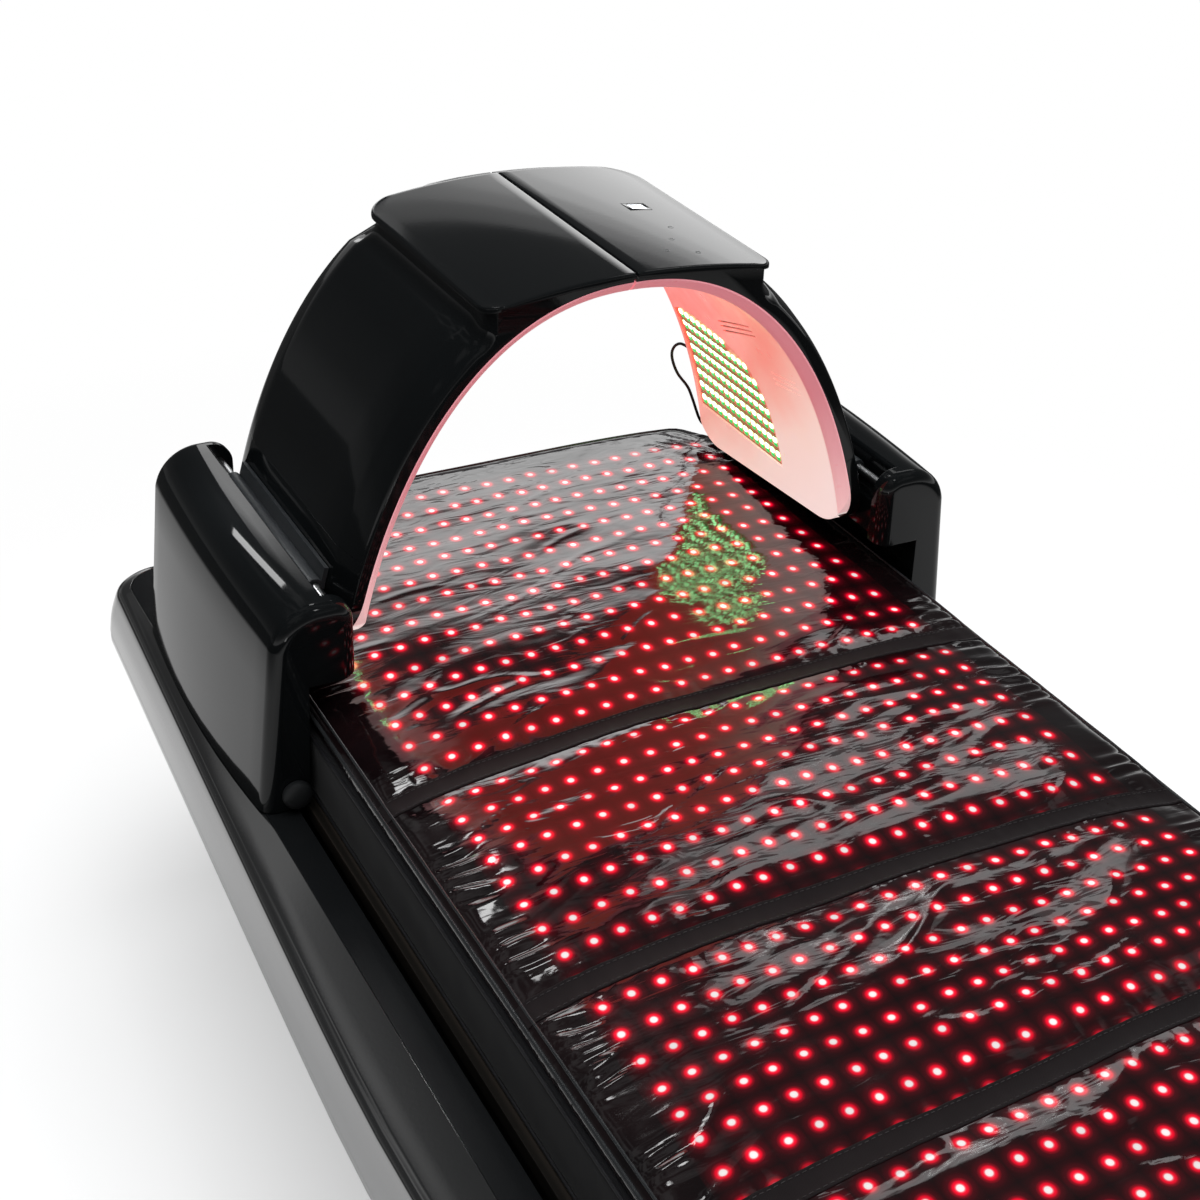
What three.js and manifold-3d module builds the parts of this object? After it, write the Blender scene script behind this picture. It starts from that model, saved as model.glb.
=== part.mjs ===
// A red light therapy bed: a low moulded base with a padded light mat, and a light arch in two halves.
// Each half of the arch hangs on a carriage that slides along the bed on a rail under the deck.
// Millimetres. +X is across the bed, +Y is along it towards the head, +Z is up, and the floor is z = 0.

import * as THREE from 'three';
import { mergeVertices } from 'three/addons/utils/BufferGeometryUtils.js';
import Module from 'manifold-3d';

const wasm = await Module();
wasm.setup();

// Driving dimensions
const mat_top_height = 560;
const mat_half_width = 392;
const mat_half_length = 941;
const mat_thickness = 20;
const mattress_depth = 105;
const mattress_overhang = 5;
const side_deck_width = 36;
const base_end_length = 119;
const base_bulge = 57;
const arch_side_setback = 36;
const arch_rise = 642;
const arch_root_drop = 222;
const arch_power = 2.21;
const arch_depth = 367;
const carriage_setback = 469;
const carriage_travel_share = 1.4878;
const seat_gap = 0.3;
const running_gap = 0.8;
const cut_overrun = 20;

// Materials, as colour, roughness and metalness
const looks = {
  gloss_black: { color: 0x0b0d0e, roughness: 0.08, metalness: 0 },
  dark_steel: { color: 0x26292b, roughness: 0.45, metalness: 0.8 },
  bright_steel: { color: 0x9a9da0, roughness: 0.3, metalness: 0.9 },
  grey_fabric: { color: 0x2b2c30, roughness: 0.9, metalness: 0 },
  led_mat: { color: 0x2a0608, roughness: 0.15, metalness: 0 },
  pink_liner: { color: 0xf0736d, roughness: 0.2, metalness: 0 },
  led_board: { color: 0xf3e3c0, roughness: 0.35, metalness: 0 },
  black_rubber: { color: 0x131415, roughness: 0.6, metalness: 0 },
  display_glass: { color: 0xe9eef2, roughness: 0.1, metalness: 0 },
  wood_board: { color: 0x6b5a45, roughness: 0.7, metalness: 0 },
};

const object = new THREE.Group();

// Solids and booleans
function cleaned(geometry) {
  const bare = geometry.clone();
  bare.deleteAttribute('normal');
  bare.deleteAttribute('uv');
  return mergeVertices(bare);
}

function solidOf(geometry) {
  const merged = cleaned(geometry);
  return new wasm.Manifold(new wasm.Mesh({
    numProp: 3,
    vertProperties: new Float32Array(merged.attributes.position.array),
    triVerts: new Uint32Array(merged.index.array),
  }));
}

function geometryOf(solid) {
  const mesh = solid.getMesh();
  const geometry = new THREE.BufferGeometry();
  geometry.setAttribute('position', new THREE.BufferAttribute(new Float32Array(mesh.vertProperties), 3));
  geometry.setIndex(new THREE.BufferAttribute(new Uint32Array(mesh.triVerts), 1));
  return geometry;
}

function joined(first, ...others) {
  return geometryOf(others.reduce((sum, next) => sum.add(solidOf(next)), solidOf(first)));
}

function cut(first, ...others) {
  return geometryOf(others.reduce((sum, next) => sum.subtract(solidOf(next)), solidOf(first)));
}

function shared(first, other) {
  return geometryOf(solidOf(first).intersect(solidOf(other)));
}

function flipped(form) {
  const index = form.index.array;
  for (let i = 0; i < index.length; i += 3) {
    const kept = index[i];
    index[i] = index[i + 1];
    index[i + 1] = kept;
  }
  return form;
}

function mirrored(geometry) {
  const copy = cleaned(geometry);
  copy.scale(-1, 1, 1);
  return flipped(copy);
}

function addPart(name, geometry, look) {
  const shown = cleaned(geometry).toNonIndexed();
  shown.computeVertexNormals();
  const mesh = new THREE.Mesh(shown, new THREE.MeshStandardMaterial(looks[look]));
  mesh.name = name;
  object.add(mesh);
}

// One piece on the right and its mirror image on the left
function addPair(name, geometry, look) {
  addPart(name + '_right', geometry, look);
  addPart(name + '_left', mirrored(geometry), look);
}

// Basic forms
const round_sides = 20;
const small_round_sides = 12;

function box(x0, x1, y0, y1, z0, z1) {
  const form = new THREE.BoxGeometry(x1 - x0, y1 - y0, z1 - z0);
  form.translate((x0 + x1) / 2, (y0 + y1) / 2, (z0 + z1) / 2);
  return form;
}

function shapeOf(points) {
  return new THREE.Shape(points.map(([u, v]) => new THREE.Vector2(u, v)));
}

// Outline in X and Z, drawn out along Y
function prismAlongY(points, y0, y1) {
  const form = new THREE.ExtrudeGeometry(shapeOf(points), { depth: y1 - y0, bevelEnabled: false });
  form.rotateX(Math.PI / 2);
  form.translate(0, y1, 0);
  return form;
}

// Outline in Y and Z, drawn out along X
function prismAlongX(points, x0, x1) {
  const form = new THREE.ExtrudeGeometry(shapeOf(points), { depth: x1 - x0, bevelEnabled: false });
  const turn = new THREE.Matrix4().makeBasis(
    new THREE.Vector3(0, 1, 0), new THREE.Vector3(0, 0, 1), new THREE.Vector3(1, 0, 0));
  form.applyMatrix4(turn);
  form.translate(x0, 0, 0);
  return form;
}

// Outline in X and Y, drawn out along Z
function prismAlongZ(points, z0, z1) {
  const form = new THREE.ExtrudeGeometry(shapeOf(points), { depth: z1 - z0, bevelEnabled: false });
  form.translate(0, 0, z0);
  return form;
}

function cylinderAlongY(x, z, radius, y0, y1, sides = round_sides) {
  const form = new THREE.CylinderGeometry(radius, radius, y1 - y0, sides);
  form.translate(x, (y0 + y1) / 2, z);
  return form;
}

function arc(cx, cz, radius, from_degrees, to_degrees, steps) {
  return Array.from({ length: steps + 1 }, (_, i) => {
    const angle = THREE.MathUtils.degToRad(from_degrees + (to_degrees - from_degrees) * i / steps);
    return [cx + radius * Math.cos(angle), cz + radius * Math.sin(angle)];
  });
}

// Skin through rings of equal count, closed at both ends; flat_points gives a ring's outline for its cap
function loft(rings, flat_points) {
  const count = rings[0].length;
  const positions = rings.flat(2);
  const index = [];
  for (let r = 0; r + 1 < rings.length; r += 1) {
    for (let i = 0; i < count; i += 1) {
      const j = (i + 1) % count;
      const a = r * count + i;
      const b = r * count + j;
      const c = (r + 1) * count + j;
      const d = (r + 1) * count + i;
      index.push(a, b, c, a, c, d);
    }
  }
  const last = (rings.length - 1) * count;
  for (const [a, b, c] of capFaces(flat_points(rings[0]))) index.push(c, b, a);
  for (const [a, b, c] of capFaces(flat_points(rings.at(-1)))) index.push(last + a, last + b, last + c);
  const form = new THREE.BufferGeometry();
  form.setAttribute('position', new THREE.Float32BufferAttribute(positions, 3));
  form.setIndex(index);
  return volumeOf(form) < 0 ? flipped(form) : form;
}

function capFaces(points) {
  const outline = points.map(([u, v]) => new THREE.Vector2(u, v));
  const faces = THREE.ShapeUtils.triangulateShape(outline, []);
  return THREE.ShapeUtils.isClockWise(outline) ? faces.map(([a, b, c]) => [c, b, a]) : faces;
}

function volumeOf(form) {
  const at = form.attributes.position;
  const index = form.index.array;
  const [a, b, c] = [new THREE.Vector3(), new THREE.Vector3(), new THREE.Vector3()];
  let total = 0;
  for (let i = 0; i < index.length; i += 3) {
    a.fromBufferAttribute(at, index[i]);
    b.fromBufferAttribute(at, index[i + 1]);
    c.fromBufferAttribute(at, index[i + 2]);
    total += a.dot(b.cross(c));
  }
  return total;
}

const inXZ = ring => ring.map(([x, , z]) => [x, z]);

const mix = (a, b, share) => a + (b - a) * share;

// How far a rounded corner draws in at a place measured from where the rounding begins
function roundingInset(place, radius) {
  if (place >= radius) return 0;
  const rest = radius - Math.max(place, 0);
  return radius - Math.sqrt(radius * radius - rest * rest);
}

// Levels of the base, from the mat down
const deck_plate = 5;
const deck_above_beam = 105;
const beam_depth = 30;
const side_shell_height = 70;
const deck_top = mat_top_height - mat_thickness - mattress_depth;
const beam_top = deck_top - deck_above_beam;
const beam_bottom = beam_top - beam_depth;
const seam_height = deck_top - side_shell_height;

// Places across the base: mattress and its board, slot for the blade of the carriage, side deck
const platform_margin = 10;
const blade_thickness = 7;
const blade_side_gap = 2.6;
const mattress_half_width = mat_half_width + mattress_overhang;
const platform_half_width = mattress_half_width + platform_margin;
const blade_inner = platform_half_width + blade_side_gap;
const side_deck_inner = blade_inner + blade_thickness + blade_side_gap;
const deck_half_width = side_deck_inner + side_deck_width;
const base_half_length = mat_half_length + base_end_length;
const base_mid_half_width = deck_half_width + base_bulge;

// Plan of the base on its right half: from the middle of the head end, round both corners, to the foot end
const taper_share = 0.05;
const mid_softness = 120;
const side_stations = 7;
const corner_steps = 4;
const base_corner_radius = 60;
const rim_corner_radius = 50;
const base_centre_gap = 0.4;

function bowedHalfWidth(y) {
  const away = Math.sqrt(y * y + mid_softness * mid_softness) - mid_softness;
  return base_mid_half_width - taper_share * away;
}

function planHalf(half_width_at, half_length, radius, centre_gap) {
  const corner_y = half_length - radius;
  const corner_x = half_width_at(corner_y) - radius;
  const points = [[centre_gap, half_length], [corner_x / 2, half_length]];
  for (const [dx, dy] of arc(0, 0, radius, 90, 0, corner_steps)) points.push([corner_x + dx, corner_y + dy]);
  for (let i = 1; i < side_stations; i += 1) {
    const y = corner_y * (1 - 2 * i / side_stations);
    points.push([half_width_at(y), y]);
  }
  for (const [dx, dy] of arc(0, 0, radius, 0, -90, corner_steps)) points.push([corner_x + dx, dy - corner_y]);
  points.push([corner_x / 2, -half_length], [centre_gap, -half_length]);
  return points;
}

function baseOutline(inset) {
  return planHalf(y => bowedHalfWidth(y) - inset, base_half_length - inset, base_corner_radius,
    base_centre_gap);
}

// Shell between outlines; each layer is { outline, height } and height may vary along the outline
function wallShell(layers) {
  const stations = layers[0].outline.length;
  const rings = Array.from({ length: stations }, (_, s) => layers.map(({ outline, height }) => {
    const [x, y] = outline[s];
    return [x, y, typeof height === 'function' ? height(s) : height];
  }));
  return loft(rings, ring => ring.map(([, y, z]) => [y, z]));
}

// Upper shell of the base: ledge beside the deck, soft shoulder, wall that leans out to the seam
const side_shell_wall = 5;
const side_lean = 17;
const ledge_fall_share = 0.17;
const ledge_edge_fall = 2;
const rim_end_setback = 11;
const wall_lean_shares = [0, 0.28, 0.55, 0.85, 1];
const wall_fall_shares = [0, 0.08, 0.3, 0.65, 1];
const rim_half_length = base_half_length - rim_end_setback;

function rimOutline(inset) {
  return planHalf(() => deck_half_width - inset, rim_half_length - inset, rim_corner_radius, base_centre_gap);
}

function sideShell() {
  const rim = rimOutline(-seat_gap);
  const shoulder = baseOutline(0);
  const ledgeWidth = s => Math.hypot(shoulder[s][0] - rim[s][0], shoulder[s][1] - rim[s][1]);
  const shoulderHeight = s => deck_top - ledge_edge_fall - ledge_fall_share * ledgeWidth(s);
  const wall = wall_lean_shares.map((lean, i) => ({
    outline: baseOutline(-side_lean * lean),
    height: s => mix(shoulderHeight(s), seam_height + seat_gap, wall_fall_shares[i]),
  }));
  const inner = wall.map(({ height }, i) => ({
    outline: baseOutline(side_shell_wall - side_lean * wall_lean_shares[i]),
    height: s => Math.min(height(s), shoulderHeight(s) - side_shell_wall),
  })).reverse();
  return wallShell([
    { outline: rim, height: deck_top },
    ...wall,
    ...inner,
    { outline: rim, height: deck_top - side_shell_wall },
  ]);
}

// Lower shell of the base: short lip under the seam, then drawn far in under the body
const skirt_wall = 4;
const skirt_bottom = 24;
const skirt_draw_in = 154;
const skirt_lip_setback = 8;
const skirt_inset_shares = [0, 0, 0.047, 0.111, 0.216, 0.708, 0.988, 1];
const skirt_fall_shares = [0, 0.035, 0.059, 0.111, 0.205, 0.543, 0.909, 1];

function skirtShell() {
  const depth = seam_height - skirt_bottom;
  const insetOf = i => mix(-side_lean, skirt_draw_in, skirt_inset_shares[i]);
  const heightOf = i => seam_height - depth * skirt_fall_shares[i];
  const count = skirt_inset_shares.length;
  const outer = skirt_inset_shares.map((_, i) => ({ outline: baseOutline(insetOf(i)), height: heightOf(i) }));
  const inner = skirt_inset_shares.map((_, i) => {
    const raised = i > 1 && i < count - 1 ? skirt_wall / 2 : 0;
    return { outline: baseOutline(insetOf(i) + skirt_wall), height: heightOf(i) + raised };
  }).reverse();
  return wallShell([...outer, ...inner]);
}

// Steel frame, legs and feet
const frame_end_setback = 160;
const cross_member_setback = 140;
const cross_member_width = 60;
const beam_slot_setback = 38;
const beam_outer_lap = 3;
const deck_flange_setback = 16;
const leg_x_share = 0.62;
const leg_size = 50;
const foot_radius = 35;
const foot_height = 14;
const foot_edge = 3.5;
const foot_top_share = 0.6;
const beam_inner = blade_inner - beam_slot_setback;
const beam_outer = deck_half_width - deck_flange_setback + beam_outer_lap;
const leg_x = beam_inner * leg_x_share;
const frame_half_length = base_half_length - frame_end_setback;
const cross_member_y = frame_half_length - cross_member_setback;

function addFrame() {
  addPair('frame_beam', box(beam_inner, beam_outer, -frame_half_length, frame_half_length,
    beam_bottom, beam_top), 'dark_steel');
  const reach = beam_inner - seat_gap;
  for (const [end, y] of [['head', cross_member_y], ['foot', -cross_member_y]]) {
    addPart('cross_member_' + end, box(-reach, reach, y - cross_member_width / 2, y + cross_member_width / 2,
      beam_bottom, beam_top), 'dark_steel');
    addPair('leg_' + end, box(leg_x - leg_size / 2, leg_x + leg_size / 2, y - leg_size / 2, y + leg_size / 2,
      foot_height + seat_gap, beam_bottom - seat_gap), 'dark_steel');
    addPair('foot_pad_' + end, footPad(leg_x, y), 'black_rubber');
  }
}

function footPad(x, y) {
  const profile = [[0, 0], [foot_radius - foot_edge, 0], [foot_radius, foot_edge],
    [foot_radius, foot_height / 2], [foot_radius * foot_top_share, foot_height], [0, foot_height]];
  const form = new THREE.LatheGeometry(profile.map(([r, z]) => new THREE.Vector2(r, z)), round_sides);
  form.rotateX(Math.PI / 2);
  form.translate(x, y, 0);
  return form;
}

// Decks and the board that carries the mattress
const platform_plate = 18;
const riser_width = 13;
const end_deck_gap = 4;
const end_deck_start = mat_half_length + end_deck_gap;

function sideDeck(run) {
  const flange_outer = deck_half_width - deck_flange_setback;
  const flange_inner = flange_outer - deck_plate;
  const under = deck_top - deck_plate;
  const foot = beam_top + seat_gap;
  return prismAlongY([[side_deck_inner, deck_top], [side_deck_inner, under], [flange_inner, under],
    [flange_inner, foot], [flange_outer, foot], [flange_outer, under], [deck_half_width, under],
    [deck_half_width, deck_top]], -run, run);
}

function endDeck(side) {
  const right = rimOutline(0).filter(([, y]) => y > end_deck_start).map(([x, y]) => [x, side * y]);
  const corner = [deck_half_width, side * end_deck_start];
  const outline = [...right, corner, [-corner[0], corner[1]], ...right.map(([x, y]) => [-x, y]).reverse()];
  return prismAlongZ(outline, deck_top - deck_plate, deck_top);
}

// Two risers stand on the beams and carry the board
function boardRiser(run) {
  return box(beam_inner, beam_inner + riser_width, -run, run, beam_top + seat_gap,
    deck_top - platform_plate - seat_gap);
}

function addDecks() {
  const run = end_deck_start - seat_gap;
  addPair('side_deck', sideDeck(run), 'gloss_black');
  addPart('end_deck_head', endDeck(1), 'gloss_black');
  addPart('end_deck_foot', endDeck(-1), 'gloss_black');
  addPart('mattress_platform', box(-platform_half_width, platform_half_width, -run, run,
    deck_top - platform_plate, deck_top), 'wood_board');
  addPair('board_riser', boardRiser(run), 'wood_board');
}

// Places along the carriage: cheek of the head, recess with the arch half in it, cheek
const carriage_near_end = mat_half_length - carriage_setback;
const carriage_travel = mat_half_length * carriage_travel_share;
const near_cheek = 26;
const far_cheek = 21;
const recess_near_gap = 13;
const recess_far_gap = 7;
const recess_near = carriage_near_end + near_cheek;
const arch_near_end = recess_near + recess_near_gap;
const arch_far_end = arch_near_end + arch_depth;
const recess_far = arch_far_end + recess_far_gap;
const carriage_far_end = recess_far + far_cheek;
const carriage_middle = (carriage_near_end + carriage_far_end) / 2;

// Guide rail with its end stops, and the block that runs on it
const rail_head = 20;
const rail_neck = 12;
const rail_height = 20;
const rail_head_depth = 9;
const block_half_width = 20;
const block_height = 41;
const block_length = 300;
const stop_thickness = 8;
const stop_gap = 4;
const rail_centre = blade_inner + blade_thickness / 2;
const block_near_end = carriage_middle - block_length / 2;
const block_far_end = carriage_middle + block_length / 2;
const rail_top = beam_top + rail_height;
const block_top = beam_top + block_height;

function guideRail() {
  const shoulder = rail_top - rail_head_depth;
  const neck = rail_neck / 2;
  const head = rail_head / 2;
  const foot = beam_top + seat_gap;
  const section = [[-neck, foot], [neck, foot], [neck, shoulder], [head, shoulder], [head, rail_top],
    [-head, rail_top], [-head, shoulder], [-neck, shoulder]].map(([x, z]) => [rail_centre + x, z]);
  const far_stop = block_far_end + stop_gap;
  const near_stop = block_near_end - carriage_travel - stop_gap;
  const stop = y => box(rail_centre - block_half_width, rail_centre + block_half_width, y, y + stop_thickness,
    foot, block_top);
  return joined(prismAlongY(section, near_stop, far_stop), stop(far_stop), stop(near_stop - stop_thickness));
}

function slideBlock() {
  const half = block_half_width;
  const head = rail_head / 2 + running_gap;
  const neck = rail_neck / 2 + running_gap;
  const lip_top = rail_top - rail_head_depth - running_gap;
  const roof = rail_top + running_gap;
  const bottom = beam_top + running_gap + running_gap;
  const section = [[-half, bottom], [-neck, bottom], [-neck, lip_top], [-head, lip_top], [-head, roof],
    [head, roof], [head, lip_top], [neck, lip_top], [neck, bottom], [half, bottom], [half, block_top],
    [-half, block_top]].map(([x, z]) => [rail_centre + x, z]);
  return prismAlongY(section, block_near_end, block_far_end);
}

// Hinge of each arch half, between the cheeks of the pedestal's head
const arch_half_width = mat_half_width - arch_side_setback;
const hinge_outset = 4;
const hinge_above_mat = 102;
const hinge_pin_radius = 6;
const barrel_radius = 10;
const pin_end_reach = 8;
const hinge_x = arch_half_width + hinge_outset;
const hinge_height = mat_top_height + hinge_above_mat;

// Pedestal: an upright with a bowed outer wall and a rounded head that reaches in over the edge of the mat
const pedestal_wall = 4;
const pedestal_fillet = 16;
const pedestal_deck_gap = 1.5;
const pedestal_depth = 53;
const leg_blade_overlap = 4.6;
const leg_lean = 5;
const wall_lean_share = 0.097;
const wall_bow = 12.5;
const bow_end_reach = 8;
const bow_out_share = 0.7;
const bow_up_share = 0.33;
const head_above_mat = 31.5;
const head_depth = 95;
const head_radius = 58;
const head_round_setback = 76.5;
const head_inner_radius = 27;
const head_inner_reach = 17;
const round_start_degrees = 12;
const fillet_shares = [0, 0.12, 0.4, 1];
const bow_shares = [0.2, 0.5, 0.8];
const pedestal_bottom = deck_top + pedestal_deck_gap;
const leg_inner = blade_inner - leg_blade_overlap;
const wall_foot_x = leg_inner + pedestal_depth;
const head_bottom = mat_top_height + head_above_mat;
const head_top = head_bottom + head_depth;
const head_inner = hinge_x - head_inner_reach;
const round_x = wall_foot_x - head_round_setback;
const round_height = head_top - head_radius;

function pedestalRing(y, wall, open_bottom) {
  const inset = wall + roundingInset(Math.min(y - carriage_near_end, carriage_far_end - y), pedestal_fillet);
  const reach = carriage_far_end - carriage_middle + bow_end_reach;
  const bow = wall_bow * (1 - ((y - carriage_middle) / reach) ** 2);
  const bottom = open_bottom ? pedestal_bottom - cut_overrun : pedestal_bottom;
  const legX = z => leg_inner + wall - leg_lean * (z - pedestal_bottom) / (head_bottom - pedestal_bottom);
  const shoulder = arc(0, 0, 1, round_start_degrees, 90, 6).map(([across, up]) => [
    round_x + (head_radius - inset + bow_out_share * bow) * across,
    round_height + (head_radius - inset) * up + 2 * bow_up_share * bow * up * across]);
  const small = head_inner_radius - inset;
  const corner = arc(head_inner + head_inner_radius, head_top - head_inner_radius, small, 90, 180, 4);
  const wall_foot = wall_foot_x - inset + bow + wall_lean_share * (pedestal_bottom - bottom);
  return [[legX(bottom), bottom], [wall_foot, bottom], ...shoulder, ...corner,
    [head_inner + inset, head_bottom + wall], [legX(head_bottom), head_bottom + wall],
  ].map(([x, z]) => [x, y, z]);
}

function pedestalBody(wall, first_place, open_bottom) {
  const ends = fillet_shares.map(share => Math.max(share * pedestal_fillet, first_place));
  const places = first_place > 0 ? [...new Set(ends)] : ends;
  const length = carriage_far_end - carriage_near_end;
  const stations = [...places.map(place => carriage_near_end + place),
    ...bow_shares.map(share => carriage_near_end + share * length),
    ...places.map(place => carriage_far_end - place).reverse()];
  return loft(stations.map(y => pedestalRing(y, wall, open_bottom)), inXZ);
}

// Section of the recess: wall beside the barrel, step, narrower throat down through the head
const throat_setback = 3.5;
const recess_wall_setback = 11.5;
const recess_lip_setback = 15;
const throat_top_drop = 28;
const step_rise = 8;
const lip_depth = 7;

function recessOutline(grow) {
  const inner = head_inner - cut_overrun;
  const throat = hinge_x - throat_setback + grow;
  const wall = hinge_x + recess_wall_setback + grow;
  const lip = hinge_x + recess_lip_setback + grow;
  const throat_top = hinge_height - throat_top_drop - grow / 2;
  return [[inner, head_bottom - cut_overrun], [throat, head_bottom - cut_overrun], [throat, throat_top],
    [wall, throat_top + step_rise], [wall, head_top - lip_depth], [lip, head_top],
    [lip, head_top + cut_overrun], [inner, head_top + cut_overrun]];
}

const hollow_end_wall = 5;

function pedestalShell() {
  const body = pedestalBody(0, 0, false);
  const recess = prismAlongY(recessOutline(0), recess_near, recess_far);
  const hollow = cut(pedestalBody(pedestal_wall, hollow_end_wall, true),
    prismAlongY(recessOutline(pedestal_wall), recess_near - pedestal_wall, carriage_far_end));
  const pin_hole = cylinderAlongY(hinge_x, hinge_height, hinge_pin_radius + seat_gap,
    recess_near - pedestal_wall - pin_end_reach, recess_far + pin_end_reach + pedestal_wall + seat_gap);
  return cut(body, recess, hollow, pin_hole);
}

// Steel bracket inside the pedestal: foot, blade through the deck slot, upright and hinge lug
const foot_plate_thickness = 5;
const foot_plate_setback = 7;
const upright_thickness = 4;
const lug_thickness = 6;
const lug_reach = 8;
const lug_above_pin = 8.5;
const upright_lap = 18;
const bracket_far_setback = 10;

function carriageBracket() {
  const lug_bottom = head_bottom + pedestal_wall + seat_gap;
  const near = recess_near - pedestal_wall - seat_gap - lug_thickness;
  const far = carriage_far_end - bracket_far_setback;
  const upright_outer = blade_inner + upright_thickness;
  const foot_top = pedestal_bottom + foot_plate_thickness;
  const foot = box(blade_inner, wall_foot_x - foot_plate_setback, near, far, pedestal_bottom, foot_top);
  const blade = box(blade_inner, blade_inner + blade_thickness, block_near_end, block_far_end,
    block_top + seat_gap, foot_top);
  const upright = box(blade_inner, upright_outer, near, far, pedestal_bottom, lug_bottom + upright_lap);
  const lug = box(hinge_x - lug_reach, upright_outer, near, near + lug_thickness, lug_bottom,
    hinge_height + lug_above_pin);
  const pin_hole = cylinderAlongY(hinge_x, hinge_height, hinge_pin_radius + seat_gap, near - cut_overrun,
    near + cut_overrun);
  return cut(joined(foot, blade, upright, lug), pin_hole);
}

function hingePin() {
  return cylinderAlongY(hinge_x, hinge_height, hinge_pin_radius, recess_near - pedestal_wall - pin_end_reach,
    recess_far + pin_end_reach + pedestal_wall);
}

// Rubber bumper low on the near face
const bumper_radius = 17;
const bumper_length = 14;
const bumper_outset = 16;
const bumper_above_deck = 23;
const bumper_radius_shares = [0, 1, 1, 0.85, 0.5, 0];
const bumper_length_shares = [0, 0, 0.5, 0.8, 0.96, 1];
const bumper_x = leg_inner + bumper_outset;

function bumper() {
  const profile = bumper_radius_shares.map((share, i) => new THREE.Vector2(share * bumper_radius,
    bumper_length_shares[i] * bumper_length));
  const form = new THREE.LatheGeometry(profile, round_sides);
  form.rotateX(Math.PI);
  form.translate(bumper_x, carriage_near_end - seat_gap, deck_top + bumper_above_deck);
  return form;
}

// Arch curve: a superellipse in X and Z; offset is measured square to it, outward
const arch_root_height = mat_top_height - arch_root_drop;

function archPoint(angle, offset) {
  const x = arch_half_width * Math.sin(angle) ** (2 / arch_power);
  const z = arch_rise * Math.cos(angle) ** (2 / arch_power);
  const nx = (x / arch_half_width) ** (arch_power - 1) / arch_half_width;
  const nz = (z / arch_rise) ** (arch_power - 1) / arch_rise;
  const length = Math.hypot(nx, nz);
  return [x + offset * nx / length, arch_root_height + z + offset * nz / length];
}

function archAngleAt(height) {
  return Math.acos(((height - arch_root_height) / arch_rise) ** (arch_power / 2));
}

function archAngleAtX(x) {
  return Math.asin((x / arch_half_width) ** (arch_power / 2));
}

function archRun(from, to, steps, offset) {
  return Array.from({ length: steps + 1 }, (_, i) => archPoint(mix(from, to, i / steps), offset));
}

// Arch halves: skins, seam of the wings, and the roof that carries the caps
const half_gap = 1.5;
const arch_skin = 5;
const wing_offset = 28;
const tip_offset = 12;
const seam_above_mat = 141;
const roof_width_share = 0.48315;
const cap_side_reach = 6;
const wing_end_reach = 4;
const roof_near_radius = 25;
const roof_far_radius = 45;
const roof_fillet_rise = 30;
const roof_fillet_margin = 2;
const fillet_bend_share = 0.45;
const fillet_shares_along = [0.35, 0.7];
const cap_above_curve = 12;
const cap_fall = 17;
const cap_thickness = 6;
const cap_overhang = 5;
const cap_seat_gap = 0.5;
const bevel_places = [0, 8, 19, 45];
const bevel_shares = [0.5, 0.64, 0.78, 1];
const roof_shares = [0.3, 0.6, 0.85];
const wing_seam_height = mat_top_height + seam_above_mat;
const roof_half_width = arch_half_width * roof_width_share;
const cap_half_width = roof_half_width + cap_side_reach;
const cap_centre_top = arch_root_height + arch_rise + cap_above_curve;
const roof_far_end = arch_far_end - bevel_places[2];
const roof_corner_step = 6;
const upper_steps = 14;
const wing_steps = 9;
const lower_steps = 6;

// Curve from the middle down to the seam, the same places for the shell and the liner inside it
function upperRun(offset) {
  return archRun(archAngleAtX(half_gap), archAngleAt(wing_seam_height), upper_steps, offset);
}

// Curve from the seam down to below the tip
function lowerRun(offset) {
  return archRun(archAngleAt(wing_seam_height - seat_gap), archAngleAt(tip_low_height), lower_steps, offset);
}

function bevelShare(place) {
  const i = Math.max(1, bevel_places.findIndex(limit => limit >= place));
  const span = bevel_places[i] - bevel_places[i - 1];
  return mix(bevel_shares[i - 1], bevel_shares[i], (place - bevel_places[i - 1]) / span);
}

// Places along Y of the rounded edges, with the share of the full wing offset left at each
function edgeStations(far_extra) {
  const front = bevel_places.map(place => ({ y: arch_near_end + place, share: bevelShare(place) }));
  const far_places = [...bevel_places, ...far_extra].sort((a, b) => b - a);
  const back = far_places.map(place => ({
    y: arch_far_end - place,
    share: place >= bevel_places.at(-1) ? 1 : bevelShare(place),
  }));
  return [...front, ...back];
}

function capTop(x) {
  return cap_centre_top - cap_fall * (x / cap_half_width) ** 2;
}

function roofLevel(x) {
  return capTop(x) - cap_thickness - cap_seat_gap;
}

function curveHeightAt(x) {
  return archPoint(archAngleAtX(x), 0)[1];
}

// Places across a half's roof or cap, from the middle out to an edge
function roofPlaces(edge) {
  return [half_gap, ...roof_shares.map(share => share * edge), edge];
}

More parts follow.
